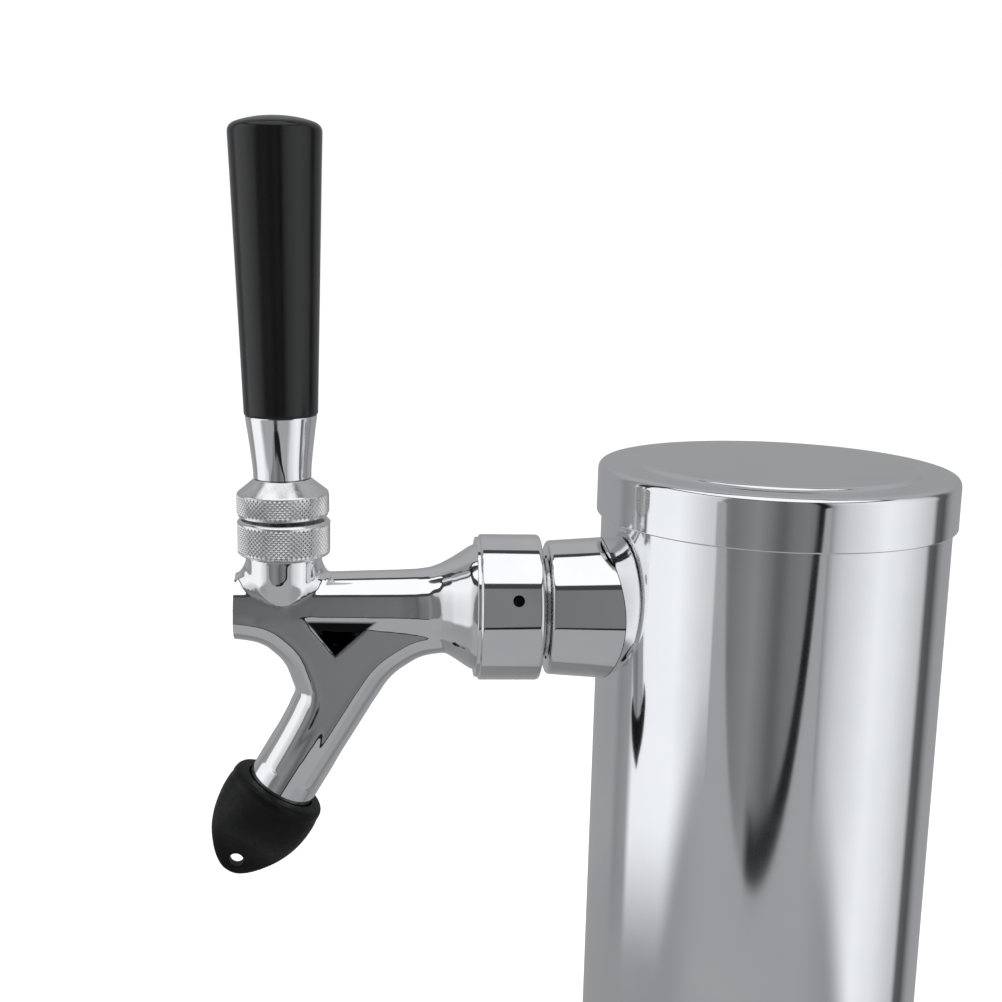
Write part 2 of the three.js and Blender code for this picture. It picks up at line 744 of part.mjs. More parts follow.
// ---- Rubber cap, modelled with its mouth up at the origin, then turned onto the spout ----
function spoutCap() {
  const steps = 14;
  const outline = [
    [-plugRadius, 0],
    [plugRadius, 0],
    ...Array.from({ length: steps + 1 }, (_, i) => {
      const angle = (Math.PI * i) / steps;
      return [plugRadius * Math.cos(angle), -plugShoulder - (plugLength - plugShoulder) * Math.sin(angle)];
    }),
  ].map(([x, z]) => point(x, z));
  const tongue = plate(outline, 2 * plugRadius);
  const wedge = turnedSide();
  const hole = rod(plugHoleRadius, -plugRadius, plugRadius, 16).rotate([90, 0, 0]);
  const socket = rod(spoutRadius + fitGap, -plugSocketDepth, 1);
  return tongue
    .intersect(wedge)
    .subtract(hole.translate(0, 0, plugHoleInset - plugLength))
    .subtract(socket);
}

// The rubber cap seen from its front: a full-width rim that narrows to the thin tongue.
function turnedSide() {
  const half = plugTipThickness / 2;
  const side = new THREE.Shape([
    new THREE.Vector2(-plugRadius, 0),
    new THREE.Vector2(-plugRadius, -plugRim),
    ...bend([-plugRadius + 0.6, -plugRim - 0.4], [-plugRadius, -plugLength * 0.6], [-half, -plugLength * 0.72], 6)
      .map((p) => new THREE.Vector2(...p)),
    new THREE.Vector2(-half, -plugLength),
    new THREE.Vector2(half, -plugLength),
    ...bend([half, -plugLength * 0.72], [plugRadius, -plugLength * 0.6], [plugRadius - 0.6, -plugRim - 0.4], 6)
      .map((p) => new THREE.Vector2(...p)),
    new THREE.Vector2(plugRadius, -plugRim),
    new THREE.Vector2(plugRadius, 0),
  ]);
  const slab = new THREE.ExtrudeGeometry(side, { depth: 2 * plugRadius, bevelEnabled: false });
  const across = solidOf(slab.translate(0, 0, -plugRadius)).rotate([90, 0, 0]).rotate([0, 0, 90]);
  return across.intersect(rod(plugRadius, -plugLength, 0, columnSteps));
}

// ---- The assembly ----
const tower = new THREE.Group();
piece(tower, "base_gasket", baseGasket(), blackRubber);
piece(tower, "base_flange", baseFlange(), polishedSteel);
piece(tower, "column_tube", columnTube(), polishedSteel);
piece(tower, "tower_cap", towerCap(), polishedSteel);
piece(tower, "cap_seal_ring", capSealRing(), greyRubber);

const faucet = new THREE.Group();
faucet.position.z = faucetHeight;
tower.add(faucet);
piece(faucet, "shank", shank(), satinChrome);
piece(faucet, "shank_collar", shankCollar(), chromePlate);
piece(faucet, "coupling_nut", couplingNut(), chromePlate);
piece(faucet, "coupling_washer", couplingWasher(), blackRubber);
piece(faucet, "inner_saddle", innerSaddle(), greyRubber);
piece(faucet, "shank_locknut", shankLocknut(), plainBrass);
piece(faucet, "tail_washer", tailWasher(), blackRubber);
piece(faucet, "tail_nut", tailNut(), satinChrome);
piece(faucet, "tail_elbow", tailElbow(), satinChrome);
piece(faucet, "faucet_body", faucetBody(), chromePlate);
piece(faucet, "ball_washer", ballWasher(), whiteNylon);
piece(faucet, "friction_washer", frictionWasher(), whiteNylon);
piece(faucet, "compression_bonnet", compressionBonnet(), satinChrome);
piece(faucet, "valve_shaft", valveShaft(), satinChrome);
piece(faucet, "shaft_seat", shaftSeat(), blackRubber);
piece(faucet, "shaft_nut", shaftNut(), plainBrass);

const leverAssembly = new THREE.Group();
leverAssembly.position.set(leverX, 0, pivotHeight);
leverAssembly.rotation.y = -leverLean;
faucet.add(leverAssembly);
piece(leverAssembly, "lever", lever(), satinChrome);
piece(leverAssembly, "lever_collar", leverCollar(), satinChrome);
piece(leverAssembly, "handle_ferrule", handleFerrule(), chromePlate);
piece(leverAssembly, "handle_grip", handleGrip(), blackGrip);
piece(leverAssembly, "handle_insert", handleInsert(), plainBrass);

const plug = new THREE.Group();
plug.position.copy(alongSpout(plugSocketDepth - fitGap));
plug.rotation.y = spoutAngle;
faucet.add(plug);
piece(plug, "spout_cap", spoutCap(), blackRubber);

export default tower;
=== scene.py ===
import bpy
import json
import math
from mathutils import Matrix, Vector


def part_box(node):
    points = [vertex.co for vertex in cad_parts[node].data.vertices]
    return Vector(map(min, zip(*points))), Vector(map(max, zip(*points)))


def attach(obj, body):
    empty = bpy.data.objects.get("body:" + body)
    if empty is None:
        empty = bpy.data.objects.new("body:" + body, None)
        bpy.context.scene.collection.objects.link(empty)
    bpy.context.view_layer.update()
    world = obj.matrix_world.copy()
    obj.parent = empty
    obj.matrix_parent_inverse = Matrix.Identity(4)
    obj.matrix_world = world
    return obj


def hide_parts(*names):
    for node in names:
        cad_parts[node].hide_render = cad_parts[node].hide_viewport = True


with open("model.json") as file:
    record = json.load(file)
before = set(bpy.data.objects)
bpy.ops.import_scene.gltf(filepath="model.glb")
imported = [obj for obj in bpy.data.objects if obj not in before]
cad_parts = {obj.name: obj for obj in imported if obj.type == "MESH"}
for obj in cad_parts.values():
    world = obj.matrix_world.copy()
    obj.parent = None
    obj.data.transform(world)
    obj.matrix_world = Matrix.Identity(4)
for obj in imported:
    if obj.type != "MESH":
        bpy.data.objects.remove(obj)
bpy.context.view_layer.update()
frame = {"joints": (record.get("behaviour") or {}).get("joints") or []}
mm = 0.001


def middle(node):
    low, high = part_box(node)
    return (low + high) / 2


columnLow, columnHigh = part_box("column_tube")
towerAxis = Vector((middle("column_tube").x, 0, 0))
faucetAxis = Vector((0, 0, middle("coupling_nut").z))  # a point on the faucet's axis
leverJoint = next(j for j in frame["joints"] if j["name"] == "handle_pull")
pivot = Vector(leverJoint["pos_m"])


# camera, light and floor
cameraLook = {
    "place": (-86.1, -315.6, 83.9),  # mm from the column's axis and the faucet's axis
    "azimuth": -4.61, "elevation": 10.76, "roll": 1.46, "lens": 53.2,
}


def makeCamera():
    bpy.ops.object.camera_add(location=faucetAxis + Vector(cameraLook["place"]) * mm)
    camera = bpy.context.object
    camera.name = "mainCamera"
    turn = Matrix.Rotation(math.radians(cameraLook["azimuth"]), 3, "Z")
    tip = Matrix.Rotation(math.radians(90 - cameraLook["elevation"]), 3, "X")
    roll = Matrix.Rotation(math.radians(cameraLook["roll"]), 3, "Z")
    camera.rotation_euler = (turn @ tip @ roll).to_euler()
    camera.data.sensor_width = 36
    camera.data.lens = cameraLook["lens"]
    camera.data.clip_start = 0.01
    bpy.context.scene.camera = camera


# The studio round the tower: brightness (0 to 255) by the angle to the right of "facing"
studio = {
    "facing": -15.3,
    "round": [
        (-180, 150), (-116, 152), (-109, 134), (-98, 146), (-93, 238), (-60, 243), (-40, 205),
        (-33, 198), (-30, 122), (-24, 112), (-9, 131), (-1, 114), (4, 96), (7, 94), (13, 112),
        (21, 120), (25.9, 110), (27.5, 24), (32.8, 24), (34.6, 128), (39, 176), (46, 200),
        (58, 218), (73, 238), (90, 226), (113, 190), (118, 92), (126, 80), (133, 132), (139, 149),
        (180, 150),
    ],
    "overhead": 252, "behindTop": 165, "tableFront": 157, "tableBack": 127, "tableSide": 146,
    "edgeLine": 62, "blackLine": 26,
    "softLight": 1.2,  # what dull surfaces and the floor receive from all round
    "frontEdge": 51.5, "backEdge": 73.5,  # heights where the white ceiling starts, in front and behind
    "darkWidth": 31, "darkDepth": 24.7, "darkMiddle": 1,
}


# a brightness of 0 to 255 as the light it stands for
def linear(level):
    share = level / 255
    return share / 12.92 if share <= 0.04045 else ((share + 0.055) / 1.055) ** 2.4


# sets a socket to a plain value, or links another node's output to it
def feed(links, socket, value):
    if isinstance(value, bpy.types.NodeSocket):
        links.new(value, socket)
    else:
        socket.default_value = value


def makeStudio():
    world = bpy.data.worlds.new("studioWorld")
    bpy.context.scene.world = world
    world.use_nodes = True
    nodes, links = world.node_tree.nodes, world.node_tree.links
    nodes.clear()

    def calc(how, *values):
        node = nodes.new("ShaderNodeMath")
        node.operation = how
        for socket, value in zip(node.inputs, values):
            feed(links, socket, value)
        return node.outputs[0]

    def plus(a, b):
        return calc("ADD", a, b)

    def minus(a, b):
        return calc("SUBTRACT", a, b)

    def times(a, b):
        return calc("MULTIPLY", a, b)

    def fade(value, start, stop):
        node = nodes.new("ShaderNodeMapRange")
        node.interpolation_type = "SMOOTHSTEP"
        for name, given in (("Value", value), ("From Min", start), ("From Max", stop)):
            feed(links, node.inputs[name], given)
        return node.outputs[0]

    def blend(share, a, b):
        node = nodes.new("ShaderNodeMix")
        node.data_type = "RGBA"
        feed(links, node.inputs["Factor"], share)
        feed(links, node.inputs[6], a)
        feed(links, node.inputs[7], b)
        return node.outputs[2]

    def tint(level):
        value = linear(level) / 0.86
        return (value * 0.985, value, value * 1.03, 1)

    way = nodes.new("ShaderNodeTexCoord")
    split = nodes.new("ShaderNodeSeparateXYZ")
    links.new(way.outputs["Generated"], split.inputs[0])
    x, y, z = split.outputs
    bearing = times(calc("ARCTAN2", x, times(y, -1)), 180 / math.pi)
    side = calc("WRAP", minus(bearing, studio["facing"]), 180, -180)
    height = times(calc("ARCSINE", z), 180 / math.pi)
    ramp = nodes.new("ShaderNodeValToRGB")
    links.new(calc("DIVIDE", plus(side, 180), 360), ramp.inputs[0])
    stops = ramp.color_ramp.elements
    while len(stops) > 1:
        stops.remove(stops[-1])
    for i, (angle, level) in enumerate(studio["round"]):
        stop = stops[0] if i == 0 else stops.new((angle + 180) / 360)
        stop.position = (angle + 180) / 360
        stop.color = tint(level)
    away = calc("ABSOLUTE", side)
    onRight = calc("GREATER_THAN", side, 0)
    # the dark middle narrows to a rounded tip below, with a black line down its right edge
    across = calc("DIVIDE", minus(side, studio["darkMiddle"]), studio["darkWidth"])
    down = calc("MAXIMUM", calc("DIVIDE", height, -studio["darkDepth"]), 0)
    oval = plus(calc("POWER", across, 2), calc("POWER", down, 3))
    inFront = calc("LESS_THAN", away, 35)
    black = times(fade(oval, 0.72, 0.78), times(fade(side, -9, -3), inFront))
    black = times(black, fade(height, -10, -14))
    facing = blend(black, ramp.outputs[0], tint(studio["blackLine"]))
    # the grey table: under the dark middle, and where the side lights end
    behind = fade(y, 0, 0.06)
    deep = times(behind, fade(height, -36, -44))
    table = blend(deep, tint(studio["tableFront"]), tint(studio["tableBack"]))
    table = blend(times(fade(away, 30, 55), fade(height, -70, -30)), table, tint(studio["tableSide"]))
    lowFront = times(times(inFront, fade(oval, 0.98, 1.05)), fade(height, -3, -8))
    # the left light ends at 19 to 25.5 degrees down, the right one at 21.5 to 34.5
    leftEnd = plus(-19, times(fade(away, 33, 66), -6.5))
    rightEnd = plus(-21.5, times(fade(away, 33, 95), -13))
    lowMiddle = plus(leftEnd, times(onRight, minus(rightEnd, leftEnd)))
    lowSide = fade(height, plus(lowMiddle, 3), minus(lowMiddle, 3))
    lowSide = times(minus(1, inFront), lowSide)
    around = blend(calc("MAXIMUM", lowFront, lowSide), facing, table)
    # above: a white ceiling with thin dark edges, grey behind it
    far = fade(away, 100, 122)
    rim = plus(studio["frontEdge"], times(far, studio["backEdge"] - studio["frontEdge"]))
    around = blend(times(far, fade(height, 10, 40)), around, tint(studio["behindTop"]))
    edge = fade(height, minus(rim, 10), minus(rim, 8))
    around = blend(edge, around, tint(studio["edgeLine"]))
    top = fade(height, minus(rim, 1.5), rim)
    studioColor = blend(top, around, tint(studio["overhead"]))
    ray = nodes.new("ShaderNodeLightPath")
    soft = blend(ray.outputs["Is Diffuse Ray"], studioColor, (*(studio["softLight"],) * 3, 1))
    seen = blend(ray.outputs["Is Camera Ray"], soft, (1, 1, 1, 1))
    back = nodes.new("ShaderNodeBackground")
    links.new(seen, back.inputs["Color"])
    out = nodes.new("ShaderNodeOutputWorld")
    links.new(back.outputs[0], out.inputs[0])


# ways of working
def putDown():
    if bpy.context.object and bpy.context.object.mode != "OBJECT":
        bpy.ops.object.mode_set(mode="OBJECT")
    bpy.ops.object.select_all(action="DESELECT")


def pick(*pieces):
    putDown()
    for piece in pieces:
        piece.select_set(True)
    bpy.context.view_layer.objects.active = pieces[0]


def openMesh(piece, what="VERT"):
    pick(piece)
    bpy.ops.object.mode_set(mode="EDIT")
    bpy.context.tool_settings.mesh_select_mode = (what == "VERT", what == "EDGE", what == "FACE")


def closeMesh(tidy=True):
    if tidy:
        bpy.ops.mesh.select_all(action="SELECT")
        bpy.ops.mesh.remove_doubles(threshold=1e-6)
        bpy.ops.mesh.normals_make_consistent(inside=False)
    bpy.ops.object.mode_set(mode="OBJECT")


# moves, turns or scales a whole mesh
def reshape(piece, change, tidy=True, **settings):
    openMesh(piece)
    bpy.ops.mesh.select_all(action="SELECT")
    change(**settings)
    closeMesh(tidy)


def settle(piece):
    pick(piece)
    bpy.ops.object.transform_apply(location=True, rotation=True, scale=True)
    return piece


# a line drawn vertex by vertex, from a plane that is merged to its middle
def drawLine(name, dots):
    putDown()
    bpy.ops.mesh.primitive_plane_add(size=0.001, location=dots[0])
    piece = bpy.context.object
    piece.name = piece.data.name = name
    bpy.ops.object.mode_set(mode="EDIT")
    bpy.context.tool_settings.mesh_select_mode = (True, False, False)
    bpy.ops.mesh.select_all(action="SELECT")
    bpy.ops.mesh.merge(type="CENTER")
    for here, there in zip(dots, dots[1:]):
        bpy.ops.mesh.extrude_vertices_move(TRANSFORM_OT_translate={"value": there - here})
    return piece


# profile: (radius, height) in metres, spun about Z or X through centre
def turnPiece(name, profile, centre, axis="Z", steps=96):
    if axis == "Z":
        dots = [Vector((centre.x + r, centre.y, h)) for r, h in profile]
    else:
        dots = [Vector((h, centre.y, centre.z + r)) for r, h in profile]
    piece = drawLine(name, dots)
    bpy.ops.mesh.select_all(action="SELECT")
    spinAxis = (0, 0, 1) if axis == "Z" else (1, 0, 0)
    bpy.ops.mesh.spin(steps=steps, dupli=False, angle=2 * math.pi, center=centre, axis=spinAxis)
    closeMesh()
    return settle(piece)


# a flat outline in XZ, given thickness along Y
def makePlate(name, outline, thickness):
    dots = [Vector((x, -thickness / 2, z)) for x, z in outline]
    piece = drawLine(name, dots)
    bpy.ops.mesh.select_all(action="SELECT")
    bpy.ops.mesh.edge_face_add()
    bpy.ops.mesh.select_all(action="SELECT")
    bpy.ops.mesh.extrude_region_move(TRANSFORM_OT_translate={"value": (0, thickness, 0)})
    closeMesh()
    return settle(piece)


def makeRod(name, radius, start, end, sides=64):
    putDown()
    along = end - start
    facing = along.to_track_quat("Z", "X").to_euler()
    bpy.ops.mesh.primitive_cylinder_add(
        vertices=sides, radius=radius, depth=along.length, location=(start + end) / 2, rotation=facing)
    piece = bpy.context.object
    piece.name = piece.data.name = name
    return settle(piece)


def shapeWith(piece, tool, how="DIFFERENCE"):
    pick(piece)
    change = piece.modifiers.new("shape", "BOOLEAN")
    change.operation = how
    change.object = tool
    change.solver = "EXACT"
    bpy.ops.object.modifier_apply(modifier=change.name)
    pick(tool)
    bpy.ops.object.delete()


def drill(piece, radius, start, end, sides=64):
    shapeWith(piece, makeRod("drillTool", radius, start, end, sides))


def joinAll(first, *others):
    pick(first, *others)
    bpy.ops.object.join()
    return first


# a quarter bend between two profile points, bulging towards the corner
def curveTo(start, corner, end, steps=6):
    dots = []
    for i in range(1, steps + 1):
        t = i / steps
        dots.append(tuple(
            (1 - t) ** 2 * start[k] + 2 * t * (1 - t) * corner[k] + t * t * end[k] for k in (0, 1)))
    return dots


# rounds chosen corners of a profile; each entry is (radius, height) or (radius, height, rounding)
def softProfile(points, closed=True, steps=4):
    out = []
    count = len(points)
    for i, dot in enumerate(points):
        here = Vector(dot[:2])
        rounding = dot[2] if len(dot) > 2 else 0
        if rounding == 0:
            out.append(tuple(here))
            continue
        before = Vector(points[i - 1][:2])
        after = Vector(points[(i + 1) % count][:2])
        start = here + (before - here).normalized() * rounding
        end = here + (after - here).normalized() * rounding
        out.append(tuple(start))
        out += curveTo(start, here, end, steps)
    if closed:
        out.append(out[0])
    return out


# a square-sided ring, from low to high along its axis
def ringProfile(inner, outer, low, high, innerEdge, outerEdge):
    return softProfile([
        (inner, low, innerEdge), (outer, low, outerEdge), (outer, high, outerEdge), (inner, high, innerEdge)])


def finishPiece(piece, body, node, slot, angle=32, finish=None):
    pick(piece)
    bpy.ops.object.shade_smooth_by_angle(angle=math.radians(angle))
    # long faces stay true beside small roundings
    change = piece.modifiers.new("normals", "WEIGHTED_NORMAL")
    change.keep_sharp = True
    bpy.ops.object.modifier_apply(modifier=change.name)
    piece.data.materials.clear()
    piece.data.materials.append(finish or finishes[slot])
    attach(piece, body)
    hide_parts(node)
    print("made", piece.name)


# finishes
class Finish:
    def __init__(self, name, color, metallic, roughness):
        self.material = bpy.data.materials.new(name)
        self.material.use_nodes = True
        self.nodes = self.material.node_tree.nodes
        self.links = self.material.node_tree.links
        self.shader = self.nodes["Principled BSDF"]
        self.shader.inputs["Base Color"].default_value = (*color, 1)
        self.shader.inputs["Metallic"].default_value = metallic
        self.shader.inputs["Roughness"].default_value = roughness
        self.place = self.nodes.new("ShaderNodeTexCoord").outputs["Object"]
        self.bumps = None

    # mottled noise: size in metres, stretch along each axis
    def mottle(self, size, detail, stretch=(1, 1, 1)):
        mapping = self.nodes.new("ShaderNodeMapping")
        mapping.inputs["Scale"].default_value = tuple(1 / (size * s) for s in stretch)
        self.links.new(self.place, mapping.inputs["Vector"])
        noise = self.nodes.new("ShaderNodeTexNoise")
        noise.inputs["Scale"].default_value = 1
        noise.inputs["Detail"].default_value = detail
        noise.inputs["Roughness"].default_value = 0.6
        self.links.new(mapping.outputs[0], noise.inputs["Vector"])
        return noise.outputs["Fac"]

    def remap(self, value, low, high, fromLow=0.3, fromHigh=0.7):
        node = self.nodes.new("ShaderNodeMapRange")
        for socket, given in zip(node.inputs, (value, fromLow, fromHigh, low, high)):
            feed(self.links, socket, given)
        return node.outputs[0]

    def colorBy(self, value, dark, light):
        node = self.nodes.new("ShaderNodeMix")
        node.data_type = "RGBA"
        node.inputs[6].default_value = (*dark, 1)
        node.inputs[7].default_value = (*light, 1)
        self.links.new(self.remap(value, 0, 1), node.inputs["Factor"])
        self.links.new(node.outputs[2], self.shader.inputs["Base Color"])

    def roughBy(self, value, low, high):
        self.links.new(self.remap(value, low, high), self.shader.inputs["Roughness"])

    def bumpBy(self, value, strength, depth):
        node = self.nodes.new("ShaderNodeBump")
        node.inputs["Strength"].default_value = strength
        node.inputs["Distance"].default_value = depth
        self.links.new(value, node.inputs["Height"])
        if self.bumps:
            self.links.new(self.bumps, node.inputs["Normal"])
        self.bumps = node.outputs[0]
        self.links.new(self.bumps, self.shader.inputs["Normal"])


# For each slot: the finish's name, colour, metallic and roughness, then how its colour, its roughness and
# its bump vary. Each has (size of the mottling, detail, stretch), then two ends or a bump's strength and depth.
finishLook = {
    "polished_steel": (
        "polishedSteel", (0.83, 0.84, 0.85), 1, 0.06,
        ((0.03, 3), (0.8, 0.81, 0.825), (0.86, 0.865, 0.87)),
        ((0.03, 3), 0.045, 0.085), ((0.0007, 3, (1, 1, 60)), 0.05, 0.00001)),
    "chrome_plate": (
        "brightChrome", (0.87, 0.875, 0.88), 1, 0.035,
        ((0.012, 3), (0.84, 0.845, 0.86), (0.89, 0.89, 0.89)),
        ((0.004, 4), 0.02, 0.06), ((0.006, 2), 0.06, 0.00006)),
    "satin_chrome": (
        "satinNickel", (0.84, 0.84, 0.83), 1, 0.2,
        ((0.0035, 4), (0.76, 0.76, 0.755), (0.88, 0.88, 0.87)),
        ((0.0008, 5), 0.14, 0.27), ((0.0002, 3), 0.1, 0.00002)),
    "brass": (
        "machinedBrass", (0.66, 0.5, 0.25), 1, 0.3,
        ((0.004, 5), (0.52, 0.38, 0.18), (0.74, 0.58, 0.31)),
        ((0.0015, 4), 0.22, 0.42), ((0.0004, 3, (0.3, 1, 1)), 0.2, 0.00004)),
    "black_grip": (
        "blackPlastic", (0.003, 0.003, 0.003), 0, 0.2,
        ((0.004, 4, (1, 1, 6)), (0.0008, 0.0008, 0.0009), (0.0032, 0.003, 0.0028)),
        ((0.0016, 5, (1, 1, 5)), 0.16, 0.26), ((0.0007, 4, (1, 1, 3)), 0.1, 0.00002)),
    "black_rubber": (
        "blackRubber", (0.004, 0.004, 0.004), 0, 0.45,
        ((0.003, 5), (0.0008, 0.0008, 0.0008), (0.003, 0.003, 0.003)),
        ((0.001, 5), 0.36, 0.56), ((0.0005, 5), 0.3, 0.00006), 0.2),
    "grey_rubber": (
        "greyRubber", (0.1, 0.1, 0.105), 0, 0.7,
        ((0.002, 5), (0.07, 0.07, 0.075), (0.13, 0.13, 0.135)),
        ((0.001, 4), 0.6, 0.82), ((0.0004, 5), 0.4, 0.0001)),
    "white_nylon": (
        "whiteNylon", (0.8, 0.79, 0.75), 0, 0.45,
        ((0.004, 3), (0.74, 0.73, 0.68), (0.84, 0.83, 0.79)),
        ((0.001, 4), 0.38, 0.55), ((0.0005, 3), 0.2, 0.00004)),
    "painted_hole_shade": (  # painted shade inside the coupling nut's blind holes
        "paintedHoleShade", (0.03, 0.03, 0.032), 1, 0.4,
        ((0.002, 4), (0.015, 0.015, 0.016), (0.05, 0.05, 0.052)),
        ((0.0008, 4), 0.32, 0.52), ((0.0005, 4), 0.2, 0.00004)),
}


def makeFinish(name, color, metallic, roughness, colors, roughs, bump, specular=0.5):
    finish = Finish(name, color, metallic, roughness)
    finish.colorBy(finish.mottle(*colors[0]), *colors[1:])
    finish.roughBy(finish.mottle(*roughs[0]), *roughs[1:])
    finish.bumpBy(finish.mottle(*bump[0]), *bump[1:])
    finish.shader.inputs["Specular IOR Level"].default_value = specular
    return finish.material


print("camera and studio")
makeCamera()
makeStudio()
scene = bpy.context.scene
scene.view_settings.view_transform = "Standard"
scene.view_settings.look = "None"

floorLook = {
    "size": 30.0, "color": (0.97, 0.97, 0.97), "keyPower": 4, "keySize": 0.9,
    "keyPlaces": ((-0.9, -0.8, 1.3), (1.1, -0.5, 1.1)), "keyTarget": Vector((0, 0, 0.2)),
}


def makeFloor():
    putDown()
    bpy.ops.mesh.primitive_plane_add(size=floorLook["size"], location=(0, 0, -0.0002))
    floor = bpy.context.object
    floor.name = "studioFloor"
    settle(floor)
    finish = Finish("paleFloor", floorLook["color"], 0, 0.8)
    finish.colorBy(finish.mottle(0.4, 3), (0.96, 0.96, 0.96), (0.975, 0.975, 0.975))
    floor.data.materials.append(finish.material)
    floor.visible_glossy = False
    for place in floorLook["keyPlaces"]:
        bpy.ops.object.light_add(type="AREA", location=place)
        light = bpy.context.object
        light.data.size = floorLook["keySize"]
        light.data.energy = floorLook["keyPower"]
        towards = floorLook["keyTarget"] - Vector(place)
        light.rotation_euler = towards.to_track_quat("-Z", "Y").to_euler()
        light.visible_glossy = False


makeFloor()

finishes = {slot: makeFinish(*look) for slot, look in finishLook.items()}


# the tower
print("tower")
columnLook = {"wall": 1.2 * mm, "rim": 0.3 * mm, "shankHole": 11.4 * mm, "steps": 192}


def makeColumn():
    outer = columnHigh.x
    inner = outer - columnLook["wall"]
    rim = columnLook["rim"]
    profile = ringProfile(inner, outer, columnLow.z, columnHigh.z, rim, rim)
    column = turnPiece("columnTube", profile, towerAxis, steps=columnLook["steps"])
    start = faucetAxis + Vector((-outer - 0.004, 0, 0))
    drill(column, columnLook["shankHole"], start, faucetAxis)
    finishPiece(column, "tower", "column_tube", "polished_steel")


capLook = {
    "wall": 0.8 * mm, "edge": 1.9 * mm, "stepHeight": 0.7 * mm, "stepInset": 8 * mm, "lip": 0.35 * mm,
}


def makeCap():
    low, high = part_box("tower_cap")
    outer = high.x
    inner = outer - capLook["wall"]
    flat = high.z - capLook["stepHeight"]
    stepFoot = outer - capLook["stepInset"]
    stepTop = stepFoot - capLook["stepHeight"]
    wall = capLook["wall"]
    profile = softProfile([
        (0, high.z - wall),
        (stepTop - wall / 2, high.z - wall),
        (stepFoot - wall / 2, flat - wall),
        (inner, flat - wall, 0.8 * mm),
        (inner, low.z),
        (outer, low.z, capLook["lip"]),
        (outer, flat, capLook["edge"]),
        (stepFoot, flat, 0.5 * mm),
        (stepTop, high.z, 0.5 * mm),
        (0, high.z),
    ], closed=False, steps=7)
    cap = turnPiece("towerCap", profile, towerAxis, steps=192)
    finishPiece(cap, "cap", "tower_cap", "polished_steel")


def makeRing(name, node, inner, rounding, body, slot, axis="Z", steps=96):
    low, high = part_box(node)
    centre = towerAxis if axis == "Z" else faucetAxis
    ends = (low.z, high.z) if axis == "Z" else (low.x, high.x)
    profile = ringProfile(inner, high.y, *ends, rounding, rounding)
    finishPiece(turnPiece(name, profile, centre, axis, steps), body, node, slot)


flangeLook = {
    "hubHeight": 9 * mm, "hubWall": 3.2 * mm, "edge": 2 * mm, "fillet": 4.5 * mm, "screwInset": 11 * mm,
    "screwHole": 3.3 * mm, "countersink": 5.6 * mm, "sinkDepth": 2.3 * mm, "holes": 4,
}


def cutScrewHoles(piece, low, high, sunk):
    reach = high.x - flangeLook["screwInset"]
    top = low.z + 4 * mm
    for i in range(flangeLook["holes"]):
        angle = math.radians(45 + 90 * i)
        spot = Vector((reach * math.cos(angle), reach * math.sin(angle), 0))
        below, above = Vector((0, 0, low.z - 0.002)), Vector((0, 0, high.z + 0.002))
        drill(piece, flangeLook["screwHole"], spot + below, spot + above, 32)
        if sunk:
            putDown()
            depth = flangeLook["sinkDepth"]
            slope = (flangeLook["countersink"] - flangeLook["screwHole"]) / depth
            bpy.ops.mesh.primitive_cone_add(
                vertices=48, radius1=flangeLook["screwHole"],
                radius2=flangeLook["countersink"] + slope * 0.001, depth=depth + 0.001,
                location=spot + Vector((0, 0, top - depth / 2 + 0.0005)))
            shapeWith(piece, settle(bpy.context.object))


def makeFlange():
    low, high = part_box("base_flange")
    bore = columnHigh.x + 0.3 * mm
    hub = bore + flangeLook["hubWall"]
    top = high.z - flangeLook["hubHeight"]
    rim = high.x
    fillet = flangeLook["fillet"]
    profile = softProfile([
        (bore, low.z, 0.4 * mm),
        (rim, low.z, 1.2 * mm),
        (rim, top, flangeLook["edge"]),
        (hub, top, fillet),
        (hub, high.z, 1 * mm),
        (bore, high.z, 0.4 * mm),
    ], steps=8)
    flange = turnPiece("baseFlange", profile, towerAxis, steps=160)
    cutScrewHoles(flange, low, high, True)
    finishPiece(flange, "tower", "base_flange", "polished_steel")
    flange.visible_glossy = False  # like the floor, it stays out of the bright pieces' reflections


gasketLook = {"lap": 4 * mm, "innerEdge": 0.4 * mm, "outerEdge": 0.7 * mm}


def makeGasket():
    look = gasketLook
    low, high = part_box("base_gasket")
    inner = columnHigh.x - columnLook["wall"] - look["lap"]
    profile = ringProfile(inner, high.x, low.z, high.z, look["innerEdge"], look["outerEdge"])
    gasket = turnPiece("baseGasket", profile, towerAxis, steps=128)
    cutScrewHoles(gasket, low, high, False)
    finishPiece(gasket, "tower", "base_gasket", "black_rubber")
    gasket.visible_glossy = False


makeColumn()
makeCap()
makeRing("capSealRing", "cap_seal_ring", columnHigh.x - 2.2 * mm, 0.35 * mm, "tower", "grey_rubber")
makeFlange()
makeGasket()


# shank, collar, coupling nut and tail
print("shank")
shankLook = {
    "radius": 11.1 * mm, "shoulder": 12.9 * mm, "shoulderLength": 3.7 * mm, "bore": 3.2 * mm,
    "socket": 8 * mm, "socketDepth": 6 * mm, "pitch": 1.5 * mm, "threadDepth": 0.7 * mm,
}


